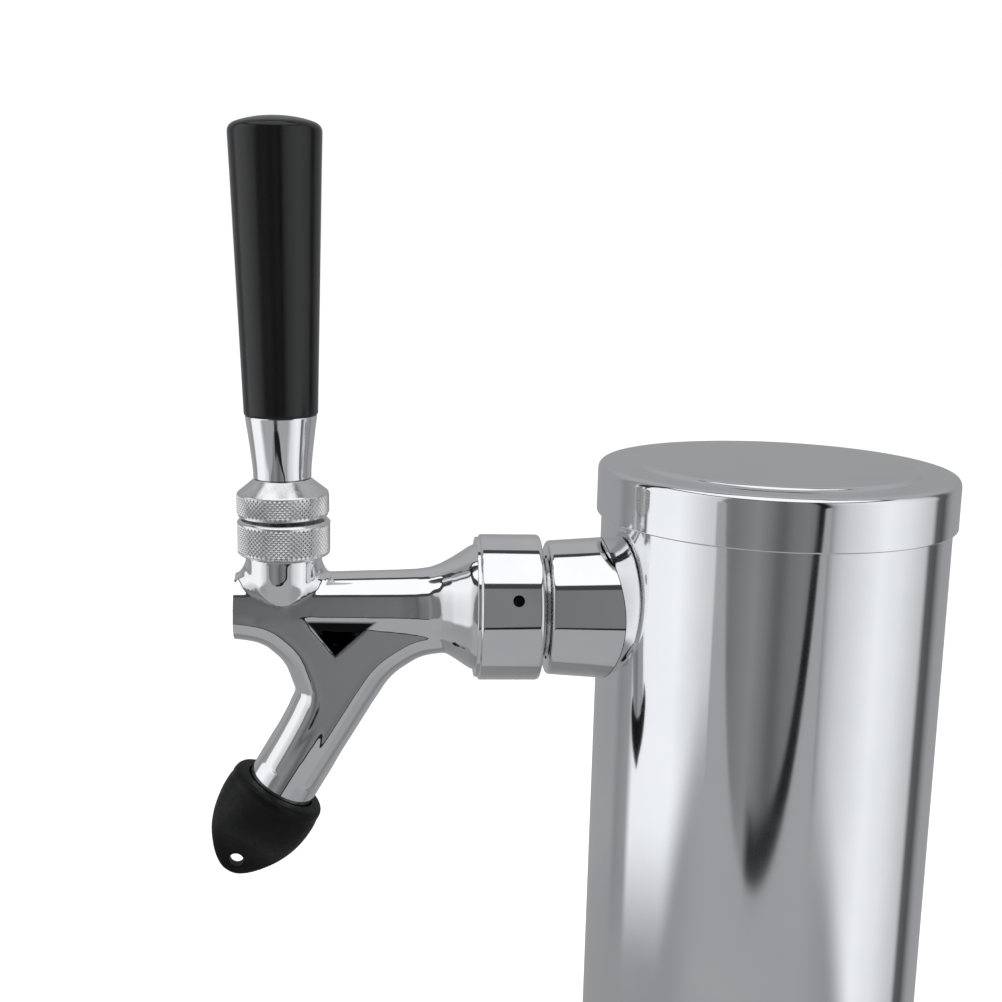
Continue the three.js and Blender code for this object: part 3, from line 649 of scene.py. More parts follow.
def makeShank():
    low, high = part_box("shank")
    r = shankLook["radius"]
    step = low.x + shankLook["shoulderLength"]
    profile = [(shankLook["socket"], low.x), (shankLook["shoulder"] - 0.3 * mm, low.x)]
    profile += [(shankLook["shoulder"], low.x + 0.3 * mm), (shankLook["shoulder"], step), (r - 0.6 * mm, step)]
    x = step + 1.2 * mm
    while x + shankLook["pitch"] < high.x - 0.6 * mm:
        profile += [(r - shankLook["threadDepth"], x), (r, x + 0.6 * mm), (r, x + 0.75 * mm)]
        x += shankLook["pitch"]
    profile += [(r - shankLook["threadDepth"], x), (r - shankLook["threadDepth"], high.x)]
    socketEnd = low.x + shankLook["socketDepth"]
    profile += [(shankLook["bore"], high.x), (shankLook["bore"], socketEnd), (shankLook["socket"], socketEnd)]
    profile.append(profile[0])
    shank = turnPiece("shank", profile, faucetAxis, "X", 72)
    finishPiece(shank, "tower", "shank", "satin_chrome")


collarLook = {"front": 14.7 * mm, "rear": 15.9 * mm, "bore": 11.4 * mm, "edge": 0.9 * mm, "gap": 0.08 * mm}


def makeCollar():
    low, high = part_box("shank_collar")
    outer = columnHigh.x
    end = high.x + 4 * mm  # inside the column, before the saddle is cut
    profile = softProfile([
        (collarLook["bore"], low.x, 0.3 * mm),
        (collarLook["front"], low.x, collarLook["edge"]),
        (collarLook["rear"], end),
        (collarLook["bore"], end),
    ], steps=5)
    collar = turnPiece("shankCollar", profile, faucetAxis, "X", 128)
    reach = Vector((0, 0, 0.03))
    drill(collar, outer + collarLook["gap"], faucetAxis - reach, faucetAxis + reach, 256)
    finishPiece(collar, "tower", "shank_collar", "chrome_plate")


nutLook = {
    "bore": 13.9 * mm, "lipBore": 11.4 * mm, "lip": 2.5 * mm,
    "hole": 1.25 * mm, "holeDepth": 1.8 * mm, "holeTurn": 19,  # degrees above the sides
}


def makeNut():
    low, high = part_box("coupling_nut")
    r = high.y
    lipFront = high.x - nutLook["lip"]
    profile = softProfile([
        (nutLook["bore"], low.x, 0.3 * mm),
        (r - 0.6 * mm, low.x, 0.2 * mm),
        (r - 0.6 * mm, low.x + 0.7 * mm),
        (r, low.x + 1 * mm, 0.3 * mm),
        (r, high.x, 1 * mm),
        (nutLook["lipBore"], high.x, 0.4 * mm),
        (nutLook["lipBore"], lipFront),
        (nutLook["bore"], lipFront),
    ], steps=5)
    nut = turnPiece("couplingNut", profile, faucetAxis, "X", 160)
    centre = Vector(((low.x + high.x) / 2 + 1.4 * mm, 0, faucetAxis.z))
    for i in range(4):
        angle = math.radians(90 * i + nutLook["holeTurn"])
        way = Vector((0, -math.cos(angle), math.sin(angle)))
        drill(nut, nutLook["hole"], centre + way * (r - nutLook["holeDepth"]), centre + way * (r + 0.002), 32)
    finishPiece(nut, "tower", "coupling_nut", "chrome_plate")
    nut.data.materials.append(finishes["painted_hole_shade"])
    for face in nut.data.polygons:  # the blind holes' walls and floors, which get the painted shade
        away = face.center - centre
        inside = math.hypot(away.y, away.z) < r - 0.05 * mm and abs(away.x) < nutLook["hole"] * 1.01
        if inside and math.hypot(away.y, away.z) > nutLook["bore"] + 0.05 * mm:
            face.material_index = 1


hexThread = {"pitch": 1 * mm, "depth": 0.35 * mm}


# a six-sided nut along X: a six-sided blank whose corners are turned off, with a threaded bore
def makeHexNut(name, node, bore, body, slot, lipBore=None, lip=0):
    low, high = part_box(node)
    flat = (high.z - low.z) / 2
    corner = flat / math.cos(math.pi / 6)
    ends = low.x, high.x
    centre = Vector((0, 0, middle(node).z))
    putDown()
    bpy.ops.mesh.primitive_cylinder_add(
        vertices=6, radius=corner, depth=ends[1] - ends[0], location=(sum(ends) / 2, 0, centre.z),
        rotation=(0, math.radians(90), 0))
    nut = bpy.context.object
    nut.name = nut.data.name = name
    settle(nut)
    if nut.dimensions.z > high.z - low.z + 1e-5:
        reshape(
            nut, bpy.ops.transform.rotate, value=math.radians(30), orient_axis="X",
            center_override=(0, 0, centre.z))
        settle(nut)
    blank = turnPiece("chamferTool", [
        (0, ends[0]), (flat - 0.1 * mm, ends[0]), (corner + 0.1 * mm, ends[0] + (corner - flat) * 0.6),
        (corner + 0.1 * mm, ends[1] - (corner - flat) * 0.6), (flat - 0.1 * mm, ends[1]), (0, ends[1])],
        centre, "X", 72)
    shapeWith(nut, blank, "INTERSECT")
    pitch = hexThread["pitch"]
    x = ends[0] - 1 * mm
    boreProfile = [(0, x)]
    stop = ends[1] - lip if lipBore else ends[1] + 1 * mm
    while x + pitch < stop:
        boreProfile += [(bore, x), (bore + hexThread["depth"], x + pitch / 2)]
        x += pitch
    boreProfile += [(bore, x), (0, x)]
    shapeWith(nut, turnPiece("boreTool", boreProfile, centre, "X", 64))
    if lipBore:
        start = Vector((x - 1 * mm, 0, centre.z))
        drill(nut, lipBore, start, Vector((ends[1] + 1 * mm, 0, centre.z)))
    finishPiece(nut, body, node, slot, 30)


saddleLook = {"bore": 11.4 * mm, "edge": 0.5 * mm, "boreEdge": 0.3 * mm, "gap": 0.3 * mm}


def makeInnerSaddle():
    look = saddleLook
    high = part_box("inner_saddle")[1]
    inner = columnHigh.x - columnLook["wall"]
    profile = softProfile([
        (look["bore"], -inner), (high.y, -inner), (high.y, high.x, look["edge"]),
        (look["bore"], high.x, look["boreEdge"])])
    saddle = turnPiece("innerSaddle", profile, faucetAxis, "X", 96)
    reach = Vector((0, 0, 0.03))
    tool = makeRod("saddleTool", inner - look["gap"], faucetAxis - reach, faucetAxis + reach, 192)
    shapeWith(saddle, tool, "INTERSECT")
    finishPiece(saddle, "tower", "inner_saddle", "grey_rubber")


tailLook = {
    "tube": 4.6 * mm, "bore": 2.6 * mm, "bend": 10 * mm, "reach": 11 * mm, "flange": 2 * mm,
    "barb": 5.5 * mm, "pitch": 5 * mm, "barbs": 4,
}


def bendTube(name, dots, radii, sides=24):
    curve = bpy.data.curves.new(name, "CURVE")
    curve.dimensions = "3D"
    curve.resolution_u = 12
    curve.bevel_depth = 1
    curve.bevel_resolution = sides // 4
    curve.use_fill_caps = True
    spline = curve.splines.new("BEZIER")
    spline.bezier_points.add(len(dots) - 1)
    for spot, dot, radius in zip(spline.bezier_points, dots, radii):
        spot.co = dot
        spot.radius = radius
        spot.handle_left_type = spot.handle_right_type = "AUTO"
    tube = bpy.data.objects.new(name, curve)
    bpy.context.collection.objects.link(tube)
    pick(tube)
    bpy.ops.object.convert(target="MESH")
    tube = bpy.context.object
    openMesh(tube)
    closeMesh()
    return tube


def makeTailElbow():
    low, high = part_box("tail_elbow")
    z = faucetAxis.z
    start = low.x
    bendX = start + tailLook["reach"]
    bend = tailLook["bend"]
    downX = bendX + bend

    def path(extra):
        dots = [Vector((start - extra, 0, z)), Vector((bendX - 2 * mm, 0, z))]
        for i in range(0, 7):
            angle = math.radians(15 * i)
            dots.append(Vector((bendX + bend * math.sin(angle), 0, z - bend * (1 - math.cos(angle)))))
        dots.append(Vector((downX, 0, z - bend - 2 * mm)))
        dots.append(Vector((downX, 0, low.z - extra)))
        return dots

    outside = path(-0.3 * mm)
    tube = bendTube("tailElbow", outside, [tailLook["tube"]] * len(outside), 32)
    flange = turnPiece("tailFlange", softProfile([
        (0, start), (high.y, start, 0.3 * mm), (high.y, start + tailLook["flange"], 0.3 * mm),
        (0, start + tailLook["flange"])], closed=False), faucetAxis, "X", 64)
    barb = [(0, low.z)]
    for i in range(tailLook["barbs"]):
        foot = low.z + i * tailLook["pitch"]
        barb += [(tailLook["tube"], foot), (tailLook["barb"], foot + tailLook["pitch"] - 1 * mm)]
        barb += [(tailLook["barb"], foot + tailLook["pitch"] - 0.8 * mm)]
        barb += [(tailLook["tube"], foot + tailLook["pitch"] - 0.6 * mm)]
    barb += [(0, low.z + tailLook["barbs"] * tailLook["pitch"])]
    barbs = turnPiece("tailBarbs", barb, Vector((downX, 0, 0)), "Z", 48)
    shapeWith(tube, flange, "UNION")
    shapeWith(tube, barbs, "UNION")
    inside = path(3 * mm)
    shapeWith(tube, bendTube("boreTool", inside, [tailLook["bore"]] * len(inside)))
    finishPiece(tube, "tower", "tail_elbow", "satin_chrome")


makeShank()
makeCollar()
makeNut()
makeRing("couplingWasher", "coupling_washer", 8.3 * mm, 0.3 * mm, "tower", "black_rubber", "X")
makeInnerSaddle()
makeHexNut("shankLocknut", "shank_locknut", 11.4 * mm, "tower", "brass")
makeRing("tailWasher", "tail_washer", 3.2 * mm, 0.3 * mm, "tower", "black_rubber", "X", 64)
makeHexNut("tailNut", "tail_nut", 11.4 * mm, "tower", "satin_chrome", 4.9 * mm, 2.4 * mm)
makeTailElbow()


# faucet body
print("faucet body")
bodyLook = {
    "length": 51.9 * mm,  # from the front face to the coupling nut
    "frontRadius": 7.1 * mm, "flare": 14.1 * mm, "thread": 13.6 * mm,
    "spoutRadius": 7.7 * mm, "spoutAngle": math.radians(30), "outletReach": 5.8 * mm, "outletDrop": 47.9 * mm,
    "archWiden": 1.42, "web": 7.3 * mm, "pocketWeb": 3 * mm, "voxel": 0.36 * mm, "smoothing": 12,
    "barrelBore": 4.6 * mm, "spoutBore": 4.6 * mm, "neck": 8.2 * mm,
}


# bright chrome with painted shade: its colour is dull and dark in the pocket between the barrel and the two
# arches
def makeChromeWithPaintedPocketShade(pocket):
    finish = Finish("bodyChromePaintedPocketShade", (0.87, 0.875, 0.88), 1, 0.035)
    nodes, links = finish.nodes, finish.links
    inside = None
    for spot, turn in pocket:  # the shadowed pocket lies on the inner side of three planes
        shift = nodes.new("ShaderNodeVectorMath")
        shift.operation = "SUBTRACT"
        feed(links, shift.inputs[0], finish.place)
        feed(links, shift.inputs[1], spot)
        depth = nodes.new("ShaderNodeVectorMath")
        depth.operation = "DOT_PRODUCT"
        feed(links, depth.inputs[0], shift.outputs["Vector"])
        feed(links, depth.inputs[1], (math.cos(turn), 0, math.sin(turn)))
        if inside is None:
            inside = depth.outputs["Value"]
            continue
        least = nodes.new("ShaderNodeMath")
        least.operation = "MINIMUM"
        feed(links, least.inputs[0], inside)
        feed(links, least.inputs[1], depth.outputs["Value"])
        inside = least.outputs[0]
    inside = finish.remap(inside, 0, 1, -0.35 * mm, 0.25 * mm)
    shade = nodes.new("ShaderNodeMix")
    haze = nodes.new("ShaderNodeMix")
    shade.data_type = haze.data_type = "RGBA"
    feed(links, haze.inputs["Factor"], finish.mottle(0.012, 3))
    feed(links, haze.inputs[6], (0.84, 0.845, 0.86, 1))
    feed(links, haze.inputs[7], (0.89, 0.89, 0.89, 1))
    # painted shade: the base colour turns near-black inside the pocket
    feed(links, shade.inputs["Factor"], inside)
    feed(links, shade.inputs[6], haze.outputs[2])
    feed(links, shade.inputs[7], (0.012, 0.012, 0.013, 1))
    feed(links, finish.shader.inputs["Base Color"], shade.outputs[2])
    finish.roughBy(finish.mottle(0.004, 4), 0.02, 0.055)
    finish.bumpBy(finish.mottle(0.006, 2), 0.06, 0.00006)
    return finish.material


def makeFaucetBody():
    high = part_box("faucet_body")[1]
    z0 = faucetAxis.z
    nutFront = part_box("coupling_nut")[0].x
    front = nutFront - bodyLook["length"]
    leverX = middle("compression_bonnet").x
    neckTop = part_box("compression_bonnet")[0].z - 0.3 * mm
    angle = bodyLook["spoutAngle"]
    up = Vector((math.sin(angle), 0, math.cos(angle)))
    ahead = Vector((-up.z, 0, up.x))
    outlet = Vector((front + bodyLook["outletReach"], 0, z0 - bodyLook["outletDrop"]))

    def spot(x, z):
        return Vector((x * mm, 0, z0 + z * mm))

    def onSpout(along, aside=0):
        return outlet + up * along * mm + ahead * aside * mm

    barrel = turnPiece("faucetBody", [
        (0, front - 2 * mm), (bodyLook["frontRadius"], front - 2 * mm),
        (7.3 * mm, front + 12 * mm), (7.7 * mm, front + 24 * mm), (8.1 * mm, nutFront - 16 * mm),
        (8.3 * mm, nutFront - 12.5 * mm), (8.7 * mm, nutFront - 9.8 * mm), (9.5 * mm, nutFront - 7.6 * mm),
        (10.8 * mm, nutFront - 5.2 * mm), (12.2 * mm, nutFront - 3 * mm), (13.4 * mm, nutFront - 1.2 * mm),
        (bodyLook["flare"], nutFront + 0.5 * mm), (bodyLook["thread"], nutFront + 2 * mm),
        (bodyLook["thread"], high.x), (0, high.x)], faucetAxis, "X", 128)
    r = bodyLook["neck"]
    neck = turnPiece("neckPart", [
        (0, z0 - 1.5 * mm), (5 * mm, z0 - 1.5 * mm), (6.5 * mm, z0), (7 * mm, z0 + 1.2 * mm),
        (r - 0.75 * mm, z0 + 2.8 * mm), (r - 0.4 * mm, z0 + 4.3 * mm), (r - 0.1 * mm, z0 + 6 * mm),
        (r, z0 + 7.5 * mm), (r, neckTop), (0, neckTop)],
        Vector((leverX, 0, z0)), "Z", 96)
    flare = turnPiece("flarePart", [
        (0, z0 + 1 * mm), (r + 3.2 * mm, z0 + 1 * mm), (r + 3.2 * mm, z0 + 5.6 * mm),
        (r + 2.3 * mm, z0 + 6.9 * mm), (r + 1.3 * mm, z0 + 7.7 * mm), (r + 0.5 * mm, z0 + 9 * mm),
        (r, z0 + 10.3 * mm), (0, z0 + 10.3 * mm)],
        Vector((leverX, 0, z0)), "Z", 96)
    # it spreads along the barrel only, so it's narrower than the neck across it
    reshape(flare, bpy.ops.transform.resize, value=(1, 0.62, 1), center_override=(leverX, 0, z0))
    wide = bodyLook["spoutRadius"]
    spout = turnPiece("spoutPart", [
        (0, -2 * mm), (wide, -2 * mm), (wide, 17 * mm), (wide - 0.12 * mm, 21 * mm), (wide - 0.4 * mm, 26 * mm),
        (wide - 1.1 * mm, 31.5 * mm), (wide - 2.2 * mm, 35 * mm), (0, 35 * mm)], Vector((0, 0, 0)), "Z", 96)
    # without a window, rotate turns the other way
    reshape(spout, bpy.ops.transform.rotate, False, value=-angle, orient_axis="Y", center_override=(0, 0, 0))
    reshape(spout, bpy.ops.transform.translate, value=outlet)
    thick = 5.2 * mm
    frontArch = bendTube("frontArch", [
        spot(-122.5, -1.9), spot(-115, -2.3), spot(-109.9, -3.7), spot(-106.2, -6.3), spot(-103.2, -9.6),
        spot(-101.1, -14.2), onSpout(31, 3.8), onSpout(26.5, 2.9), onSpout(21, 2.5), onSpout(12, 2.3)],
        [thick] * 10, 40)
    rearArch = bendTube("rearArch", [
        spot(-66.5, -4.4), spot(-74, -5.1), spot(-79, -6.1), spot(-82.8, -8.1), spot(-87.7, -12),
        onSpout(36.5, -2.6), onSpout(31, -2.5), onSpout(24, -2.4), onSpout(12, -2.3)],
        [5.6 * mm] + [thick] * 8, 40)
    for arch in (frontArch, rearArch):
        reshape(arch, bpy.ops.transform.resize, value=(1, bodyLook["archWiden"], 1), center_override=(0, 0, z0))
    outline = [
        (-113, -1.5), (-73, -1.5), (-79, -6), (-84, -9), (-89, -13.6), (-93.6, -20), (-96.4, -24.9),
        (-103.9, -36.8), (-107.3, -34.8), (-101.8, -24.1), (-101.2, -18), (-101.5, -15), (-103.5, -10),
        (-106.5, -6.5)]
    outline = [(x * mm, z0 + z * mm) for x, z in outline]
    web = makePlate("webPart", outline, 2 * bodyLook["web"])
    pocket = [
        (-103.4, 0.5), (-102.2, -1.9), (-99.8, -4.6), (-98, -6.7), (-96.2, -9), (-93.9, -6.9), (-91.3, -4.5),
        (-88.7, -2.1), (-87.4, 0.5)]
    shapeWith(web, makePlate("pocketTool", [(x * mm, z0 + z * mm) for x, z in pocket], 30 * mm))
    floor = makePlate("pocketFloor", outline, 2 * bodyLook["pocketWeb"])
    body = joinAll(barrel, neck, flare, spout, frontArch, rearArch, web, floor)
    body.data.remesh_voxel_size = bodyLook["voxel"]
    body.data.use_remesh_fix_poles = False
    body.data.remesh_voxel_adaptivity = 0
    pick(body)
    bpy.ops.object.voxel_remesh()
    change = body.modifiers.new("smooth", "SMOOTH")
    change.factor = 0.5
    change.iterations = bodyLook["smoothing"]
    bpy.ops.object.modifier_apply(modifier=change.name)
    # trim the front face and the outlet flat
    for place, facing in ((Vector((front, 0, 0)), (-1, 0, 0)), (outlet, -up)):
        openMesh(body)
        bpy.ops.mesh.select_all(action="SELECT")
        bpy.ops.mesh.bisect(plane_co=place, plane_no=facing, use_fill=True, clear_outer=True)
        closeMesh(tidy=False)
    chamberFront = high.x - 13 * mm
    leverFoot = Vector((leverX, 0, z0))
    tools = (  # radius, start, end
        (bodyLook["barrelBore"], Vector((front - 2 * mm, 0, z0)), Vector((chamberFront + 1 * mm, 0, z0))),
        (8 * mm, Vector((chamberFront, 0, z0)), Vector((high.x + 2 * mm, 0, z0))),
        (bodyLook["spoutBore"], onSpout(-3), onSpout(22)),
        (5.6 * mm, leverFoot, leverFoot + Vector((0, 0, 0.02))),
        (6.7 * mm, Vector((leverX, 0, neckTop - 2.7 * mm)), Vector((leverX, 0, neckTop + 2 * mm))),
    )
    for tool in tools:
        drill(body, *tool)
    spigot = turnPiece("spigotPart", [
        (6.7 * mm, neckTop - 0.2 * mm), (7.6 * mm, neckTop - 0.2 * mm), (7.6 * mm, neckTop + 2.5 * mm),
        (6.7 * mm, neckTop + 2.5 * mm), (6.7 * mm, neckTop - 0.2 * mm)], Vector((leverX, 0, z0)), "Z", 72)
    shapeWith(body, spigot, "UNION")
    # the body's chrome, with painted shade in the pocket
    dark = makeChromeWithPaintedPocketShade([
        (spot(-95, -1.7), math.radians(-90)), (spot(-96.2, -9.6), math.radians(38)),
        (spot(-96.2, -9.6), math.radians(132.8))])
    finishPiece(body, "tower", "faucet_body", "chrome_plate", 38, dark)


makeFaucetBody()

# the lever's packing, lever and handle
print("lever and handle")
leverLook = {
    "lean": math.radians(1.1), "ball": 4.8 * mm, "arm": 1.3 * mm, "tip": 2.2 * mm, "stem": 2.6 * mm,
    "threadRoot": 4 * mm, "thread": 4.4 * mm, "pitch": 1.3 * mm,
}
leverPlace = Vector((pivot.x, 0, 0))


# leans a piece that was made upright about the pivot, like the closed lever
def leanBack(piece):
    reshape(
        piece, bpy.ops.transform.rotate, False, value=leverLook["lean"], orient_axis="Y", center_override=pivot)
    settle(piece)


knurlLook = {"around": 62, "pitch": 1.0 * mm, "height": 0.3 * mm}


# raised diamonds: one small pyramid, spun round the ring, then its rows copied up by half a step
def knurlBand(centre, radius, low, high):
    count = knurlLook["around"]
    wide = 2 * math.pi * radius / count
    rows = max(2, round((high - low) / (knurlLook["pitch"] / 2)))
    tall = 2 * (high - low) / rows
    putDown()
    bpy.ops.mesh.primitive_cone_add(
        vertices=4, radius1=wide / 2, radius2=0, depth=knurlLook["height"],
        location=centre + Vector((radius + knurlLook["height"] / 2, 0, low + tall / 2)),
        rotation=(0, math.radians(90), 0))
    band = bpy.context.object
    settle(band)
    openMesh(band)
    bpy.ops.mesh.select_all(action="SELECT")
    bpy.ops.transform.resize(
        value=(1, 1, tall / wide), center_override=centre + Vector((radius, 0, low + tall / 2)))
    bpy.ops.mesh.spin(steps=count, dupli=True, angle=2 * math.pi, center=centre, axis=(0, 0, 1))
    closeMesh()
    rings = [band]
    for row in range(1, rows - 1):
        pick(band)
        bpy.ops.object.duplicate(linked=False)
        copy = bpy.context.object
        openMesh(copy)
        bpy.ops.mesh.select_all(action="SELECT")
        bpy.ops.transform.translate(value=(0, 0, row * tall / 2))
        if row % 2:
            bpy.ops.transform.rotate(value=math.pi / count, orient_axis="Z", center_override=centre)
        closeMesh()
        rings.append(copy)
    return joinAll(*rings)


bonnetLook = {"edge": 0.6 * mm, "mouth": 6.1 * mm, "throat": 4.5 * mm, "ceiling": 3.4 * mm, "bore": 7.9 * mm}


def makeBonnet():
    low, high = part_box("compression_bonnet")
    r = high.y
    ceiling = high.z - bonnetLook["ceiling"]
    edge = bonnetLook["edge"]
    core = r - knurlLook["height"]
    profile = softProfile([
        (bonnetLook["bore"], low.z, 0.2 * mm),
        (r - 0.5 * mm, low.z, 0.15 * mm),
        (r - 0.05 * mm, low.z + 0.45 * mm, 0.1 * mm),
        (core, low.z + 0.55 * mm),
        (core, high.z - edge - 0.35 * mm),
        (r, high.z - edge - 0.25 * mm),
        (r, high.z - edge, 0.12 * mm),
        (r - edge, high.z, 0.2 * mm),
        (bonnetLook["mouth"], high.z, 0.3 * mm),
        (bonnetLook["throat"], ceiling),
        (bonnetLook["bore"], ceiling),
    ], steps=3)
    bonnet = turnPiece("compressionBonnet", profile, leverPlace, "Z", 128)
    band = knurlBand(leverPlace, core - 0.02 * mm, low.z + 0.5 * mm, high.z - edge - 0.3 * mm)
    joinAll(bonnet, band)
    finishPiece(bonnet, "tower", "compression_bonnet", "satin_chrome")


# the lever's own heights, from the pivot
leverCollarLook = {
    "foot": 7.8 * mm, "height": 5 * mm, "cone": 3 * mm, "radius": 10 * mm, "taper": 0.4 * mm, "hollow": 3.3 * mm,
    "skirtWall": 0.5 * mm, "hole": 4.7 * mm, "coneTop": 6.1 * mm,
}


def makeLeverCollar():
    look = leverCollarLook
    foot = pivot.z + look["foot"]
    coneFoot = foot + look["height"]
    top = coneFoot + look["cone"]
    r = look["radius"]
    lowR = r - look["taper"]
    core = r - knurlLook["height"]
    skirt = lowR - look["skirtWall"]
    profile = softProfile([
        (skirt, foot),
        (lowR, foot, 0.12 * mm),
        (lowR, foot + 0.25 * mm),
        (core - 0.1 * mm, foot + 0.35 * mm),
        (core, coneFoot - 0.3 * mm),
        (r - 0.15 * mm, coneFoot - 0.15 * mm, 0.1 * mm),
        (r - 0.4 * mm, coneFoot + 0.15 * mm, 0.15 * mm),
        (look["coneTop"] + 0.6 * mm, top - 0.5 * mm, 0.5 * mm),
        (look["coneTop"], top),
        (look["hole"], top),
        (look["hole"], foot + look["hollow"]),
        (skirt - 1.2 * mm, foot + look["hollow"]),
        (skirt, foot + look["hollow"] - 1 * mm),
    ], steps=3)
    collar = turnPiece("leverCollar", profile, leverPlace, "Z", 128)
    band = knurlBand(leverPlace, core - 0.06 * mm, foot + 0.3 * mm, coneFoot - 0.2 * mm)
    joinAll(collar, band)
    leanBack(collar)
    finishPiece(collar, "handle", "lever_collar", "satin_chrome")


ferruleLook = {
    "foot": 15.9 * mm, "height": 13.5 * mm, "bottom": 6.2 * mm, "top": 7.7 * mm, "hole": 4.7 * mm,
    "bend": (  # mm up from the foot, mm out
        (1.2, 0.01), (2.4, 0.08), (4, 0.24), (5.8, 0.44), (7.6, 0.66), (9.4, 0.89), (11.2, 1.14), (13.3, 1.45)),
}


def makeFerrule():
    look = ferruleLook
    foot = pivot.z + look["foot"]
    top = foot + look["height"]
    profile = [(look["hole"], foot), (look["bottom"] - 0.25 * mm, foot), (look["bottom"], foot + 0.25 * mm)]
    for rise, spread in look["bend"]:
        profile.append((look["bottom"] + spread * mm, foot + rise * mm))
    profile += [(look["top"] - 0.15 * mm, top), (3.3 * mm, top), (3.3 * mm, top - 2.8 * mm)]
    profile += [(2 * mm, top - 2.8 * mm)]
    profile += [(2 * mm, foot + 9 * mm), (look["hole"], foot + 9 * mm), (look["hole"], foot)]
    ferrule = turnPiece("handleFerrule", profile, leverPlace, "Z", 112)
    leanBack(ferrule)
    finishPiece(ferrule, "handle", "handle_ferrule", "chrome_plate")


gripLook = {
    "foot": 29.5 * mm, "length": 59.4 * mm, "bottom": 7.85 * mm, "top": 9.75 * mm, "dome": 2.4 * mm,
    "hole": 3.3 * mm, "holeDepth": 22.3 * mm,
}


def makeGrip():
    look = gripLook
    foot = pivot.z + look["foot"]
    top = foot + look["length"]
    profile = [(0, foot + look["holeDepth"]), (look["hole"], foot + look["holeDepth"]), (look["hole"], foot)]
    profile += [(look["bottom"] - 0.5 * mm, foot)]
    profile += curveTo(profile[-1], (look["bottom"], foot), (look["bottom"] + 0.02 * mm, foot + 0.5 * mm), 4)
    for i in range(1, 7):
        share = i / 7
        profile.append((look["bottom"] + (look["top"] - look["bottom"]) * share, foot + look["length"] * share))
    domeTop = top + look["dome"] - 0.01 * mm
    profile += [(look["top"], top - 1 * mm)]
    profile += curveTo(profile[-1], (look["top"], top + 0.55 * mm), (look["top"] - 1.7 * mm, top + 1.15 * mm), 9)
    profile += curveTo(profile[-1], (look["top"] * 0.46, domeTop), (0, domeTop), 12)
    grip = turnPiece("handleGrip", profile, leverPlace, "Z", 128)
    leanBack(grip)
    finishPiece(grip, "handle", "handle_grip", "black_grip")


insertLook = {
    "radius": 3 * mm, "depth": 0.4 * mm, "pitch": 0.9 * mm,
    "below": 2.5 * mm, "above": 22 * mm,  # from the grip's foot
}


def makeInsert():
    look = insertLook
    radius, pitch = look["radius"], look["pitch"]
    root = radius - look["depth"]
    foot = pivot.z + gripLook["foot"]
    low, high = foot - look["below"], foot + look["above"]
    profile = [(0, low), (root, low)]
    z = low + 0.3 * mm
    while z + pitch < high - 0.3 * mm:
        profile += [(root, z), (radius, z + pitch * 0.45), (radius, z + pitch * 0.55)]
        z += pitch
    profile += [(root, z), (root, high), (0, high)]
    insert = turnPiece("handleInsert", profile, leverPlace, "Z", 48)
    leanBack(insert)
    finishPiece(insert, "handle", "handle_insert", "brass")


def makeLever():
    look = leverLook
    threadFoot = pivot.z + leverCollarLook["foot"] + leverCollarLook["hollow"] - 0.4 * mm
    threadTop = pivot.z + ferruleLook["foot"] + 8 * mm
    ball, arm, tip, stem = look["ball"], look["arm"], look["tip"], look["stem"]
    tipZ = faucetAxis.z
    profile = [(0, tipZ - tip)]
    reachUp = math.asin(arm / tip)
    for i in range(1, 13):
        angle = math.pi * (1 - i / 12) + reachUp * (i / 12)
        profile.append((tip * math.sin(angle), tipZ + tip * math.cos(angle)))
    lowAngle = math.pi - math.asin(arm / ball)
    highAngle = math.asin(stem / ball)
    for i in range(25):
        angle = lowAngle + (highAngle - lowAngle) * i / 24
        profile.append((ball * math.sin(angle), pivot.z + ball * math.cos(angle)))
    root, thread = look["threadRoot"], look["thread"]
    profile += [(stem, threadFoot - 0.6 * mm), (root, threadFoot)]
    z = threadFoot
    while z + 1.4 * mm < threadTop:
        profile += [(root, z + 0.2 * mm), (thread, z + 0.7 * mm), (thread, z + 0.8 * mm)]
        z += look["pitch"]
    profile += [(root, z + 0.2 * mm), (root, threadTop - 0.3 * mm), (root - 0.3 * mm, threadTop), (0, threadTop)]
    lever = turnPiece("lever", profile, leverPlace, "Z", 64)
    leanBack(lever)
    finishPiece(lever, "handle", "lever", "satin_chrome")


seatLook = {"innerEdge": 0.15 * mm, "outerEdge": 0.25 * mm, "gap": 0.3 * mm}


# a washer with a round seat for the ball
def makeBallSeat(name, node, bore):
    look = seatLook
    low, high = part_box(node)
    profile = ringProfile(bore, high.y, low.z, high.z, look["innerEdge"], look["outerEdge"])
    washer = turnPiece(name, profile, leverPlace, "Z", 72)
    putDown()
    bpy.ops.mesh.primitive_uv_sphere_add(
        segments=64, ring_count=40, radius=leverLook["ball"] + look["gap"], location=(pivot.x, 0, pivot.z))
    shapeWith(washer, settle(bpy.context.object))
    finishPiece(washer, "tower", node, "white_nylon")


makeBonnet()
makeLeverCollar()
makeFerrule()
makeGrip()
makeInsert()
makeLever()
makeBallSeat("ballWasher", "ball_washer", 4.3 * mm)
makeBallSeat("frictionWasher", "friction_washer", 4.4 * mm)

# valve
print("valve")
valveLook = {
    "radius": 4.3 * mm, "stem": 2.4 * mm, "guide": 16 * mm, "shoulder": 2.4 * mm, "thread": 6.6 * mm,
    "pitch": 0.7 * mm, "grooves": (3.6 * mm, 14 * mm),  # the grooves hold grease
}


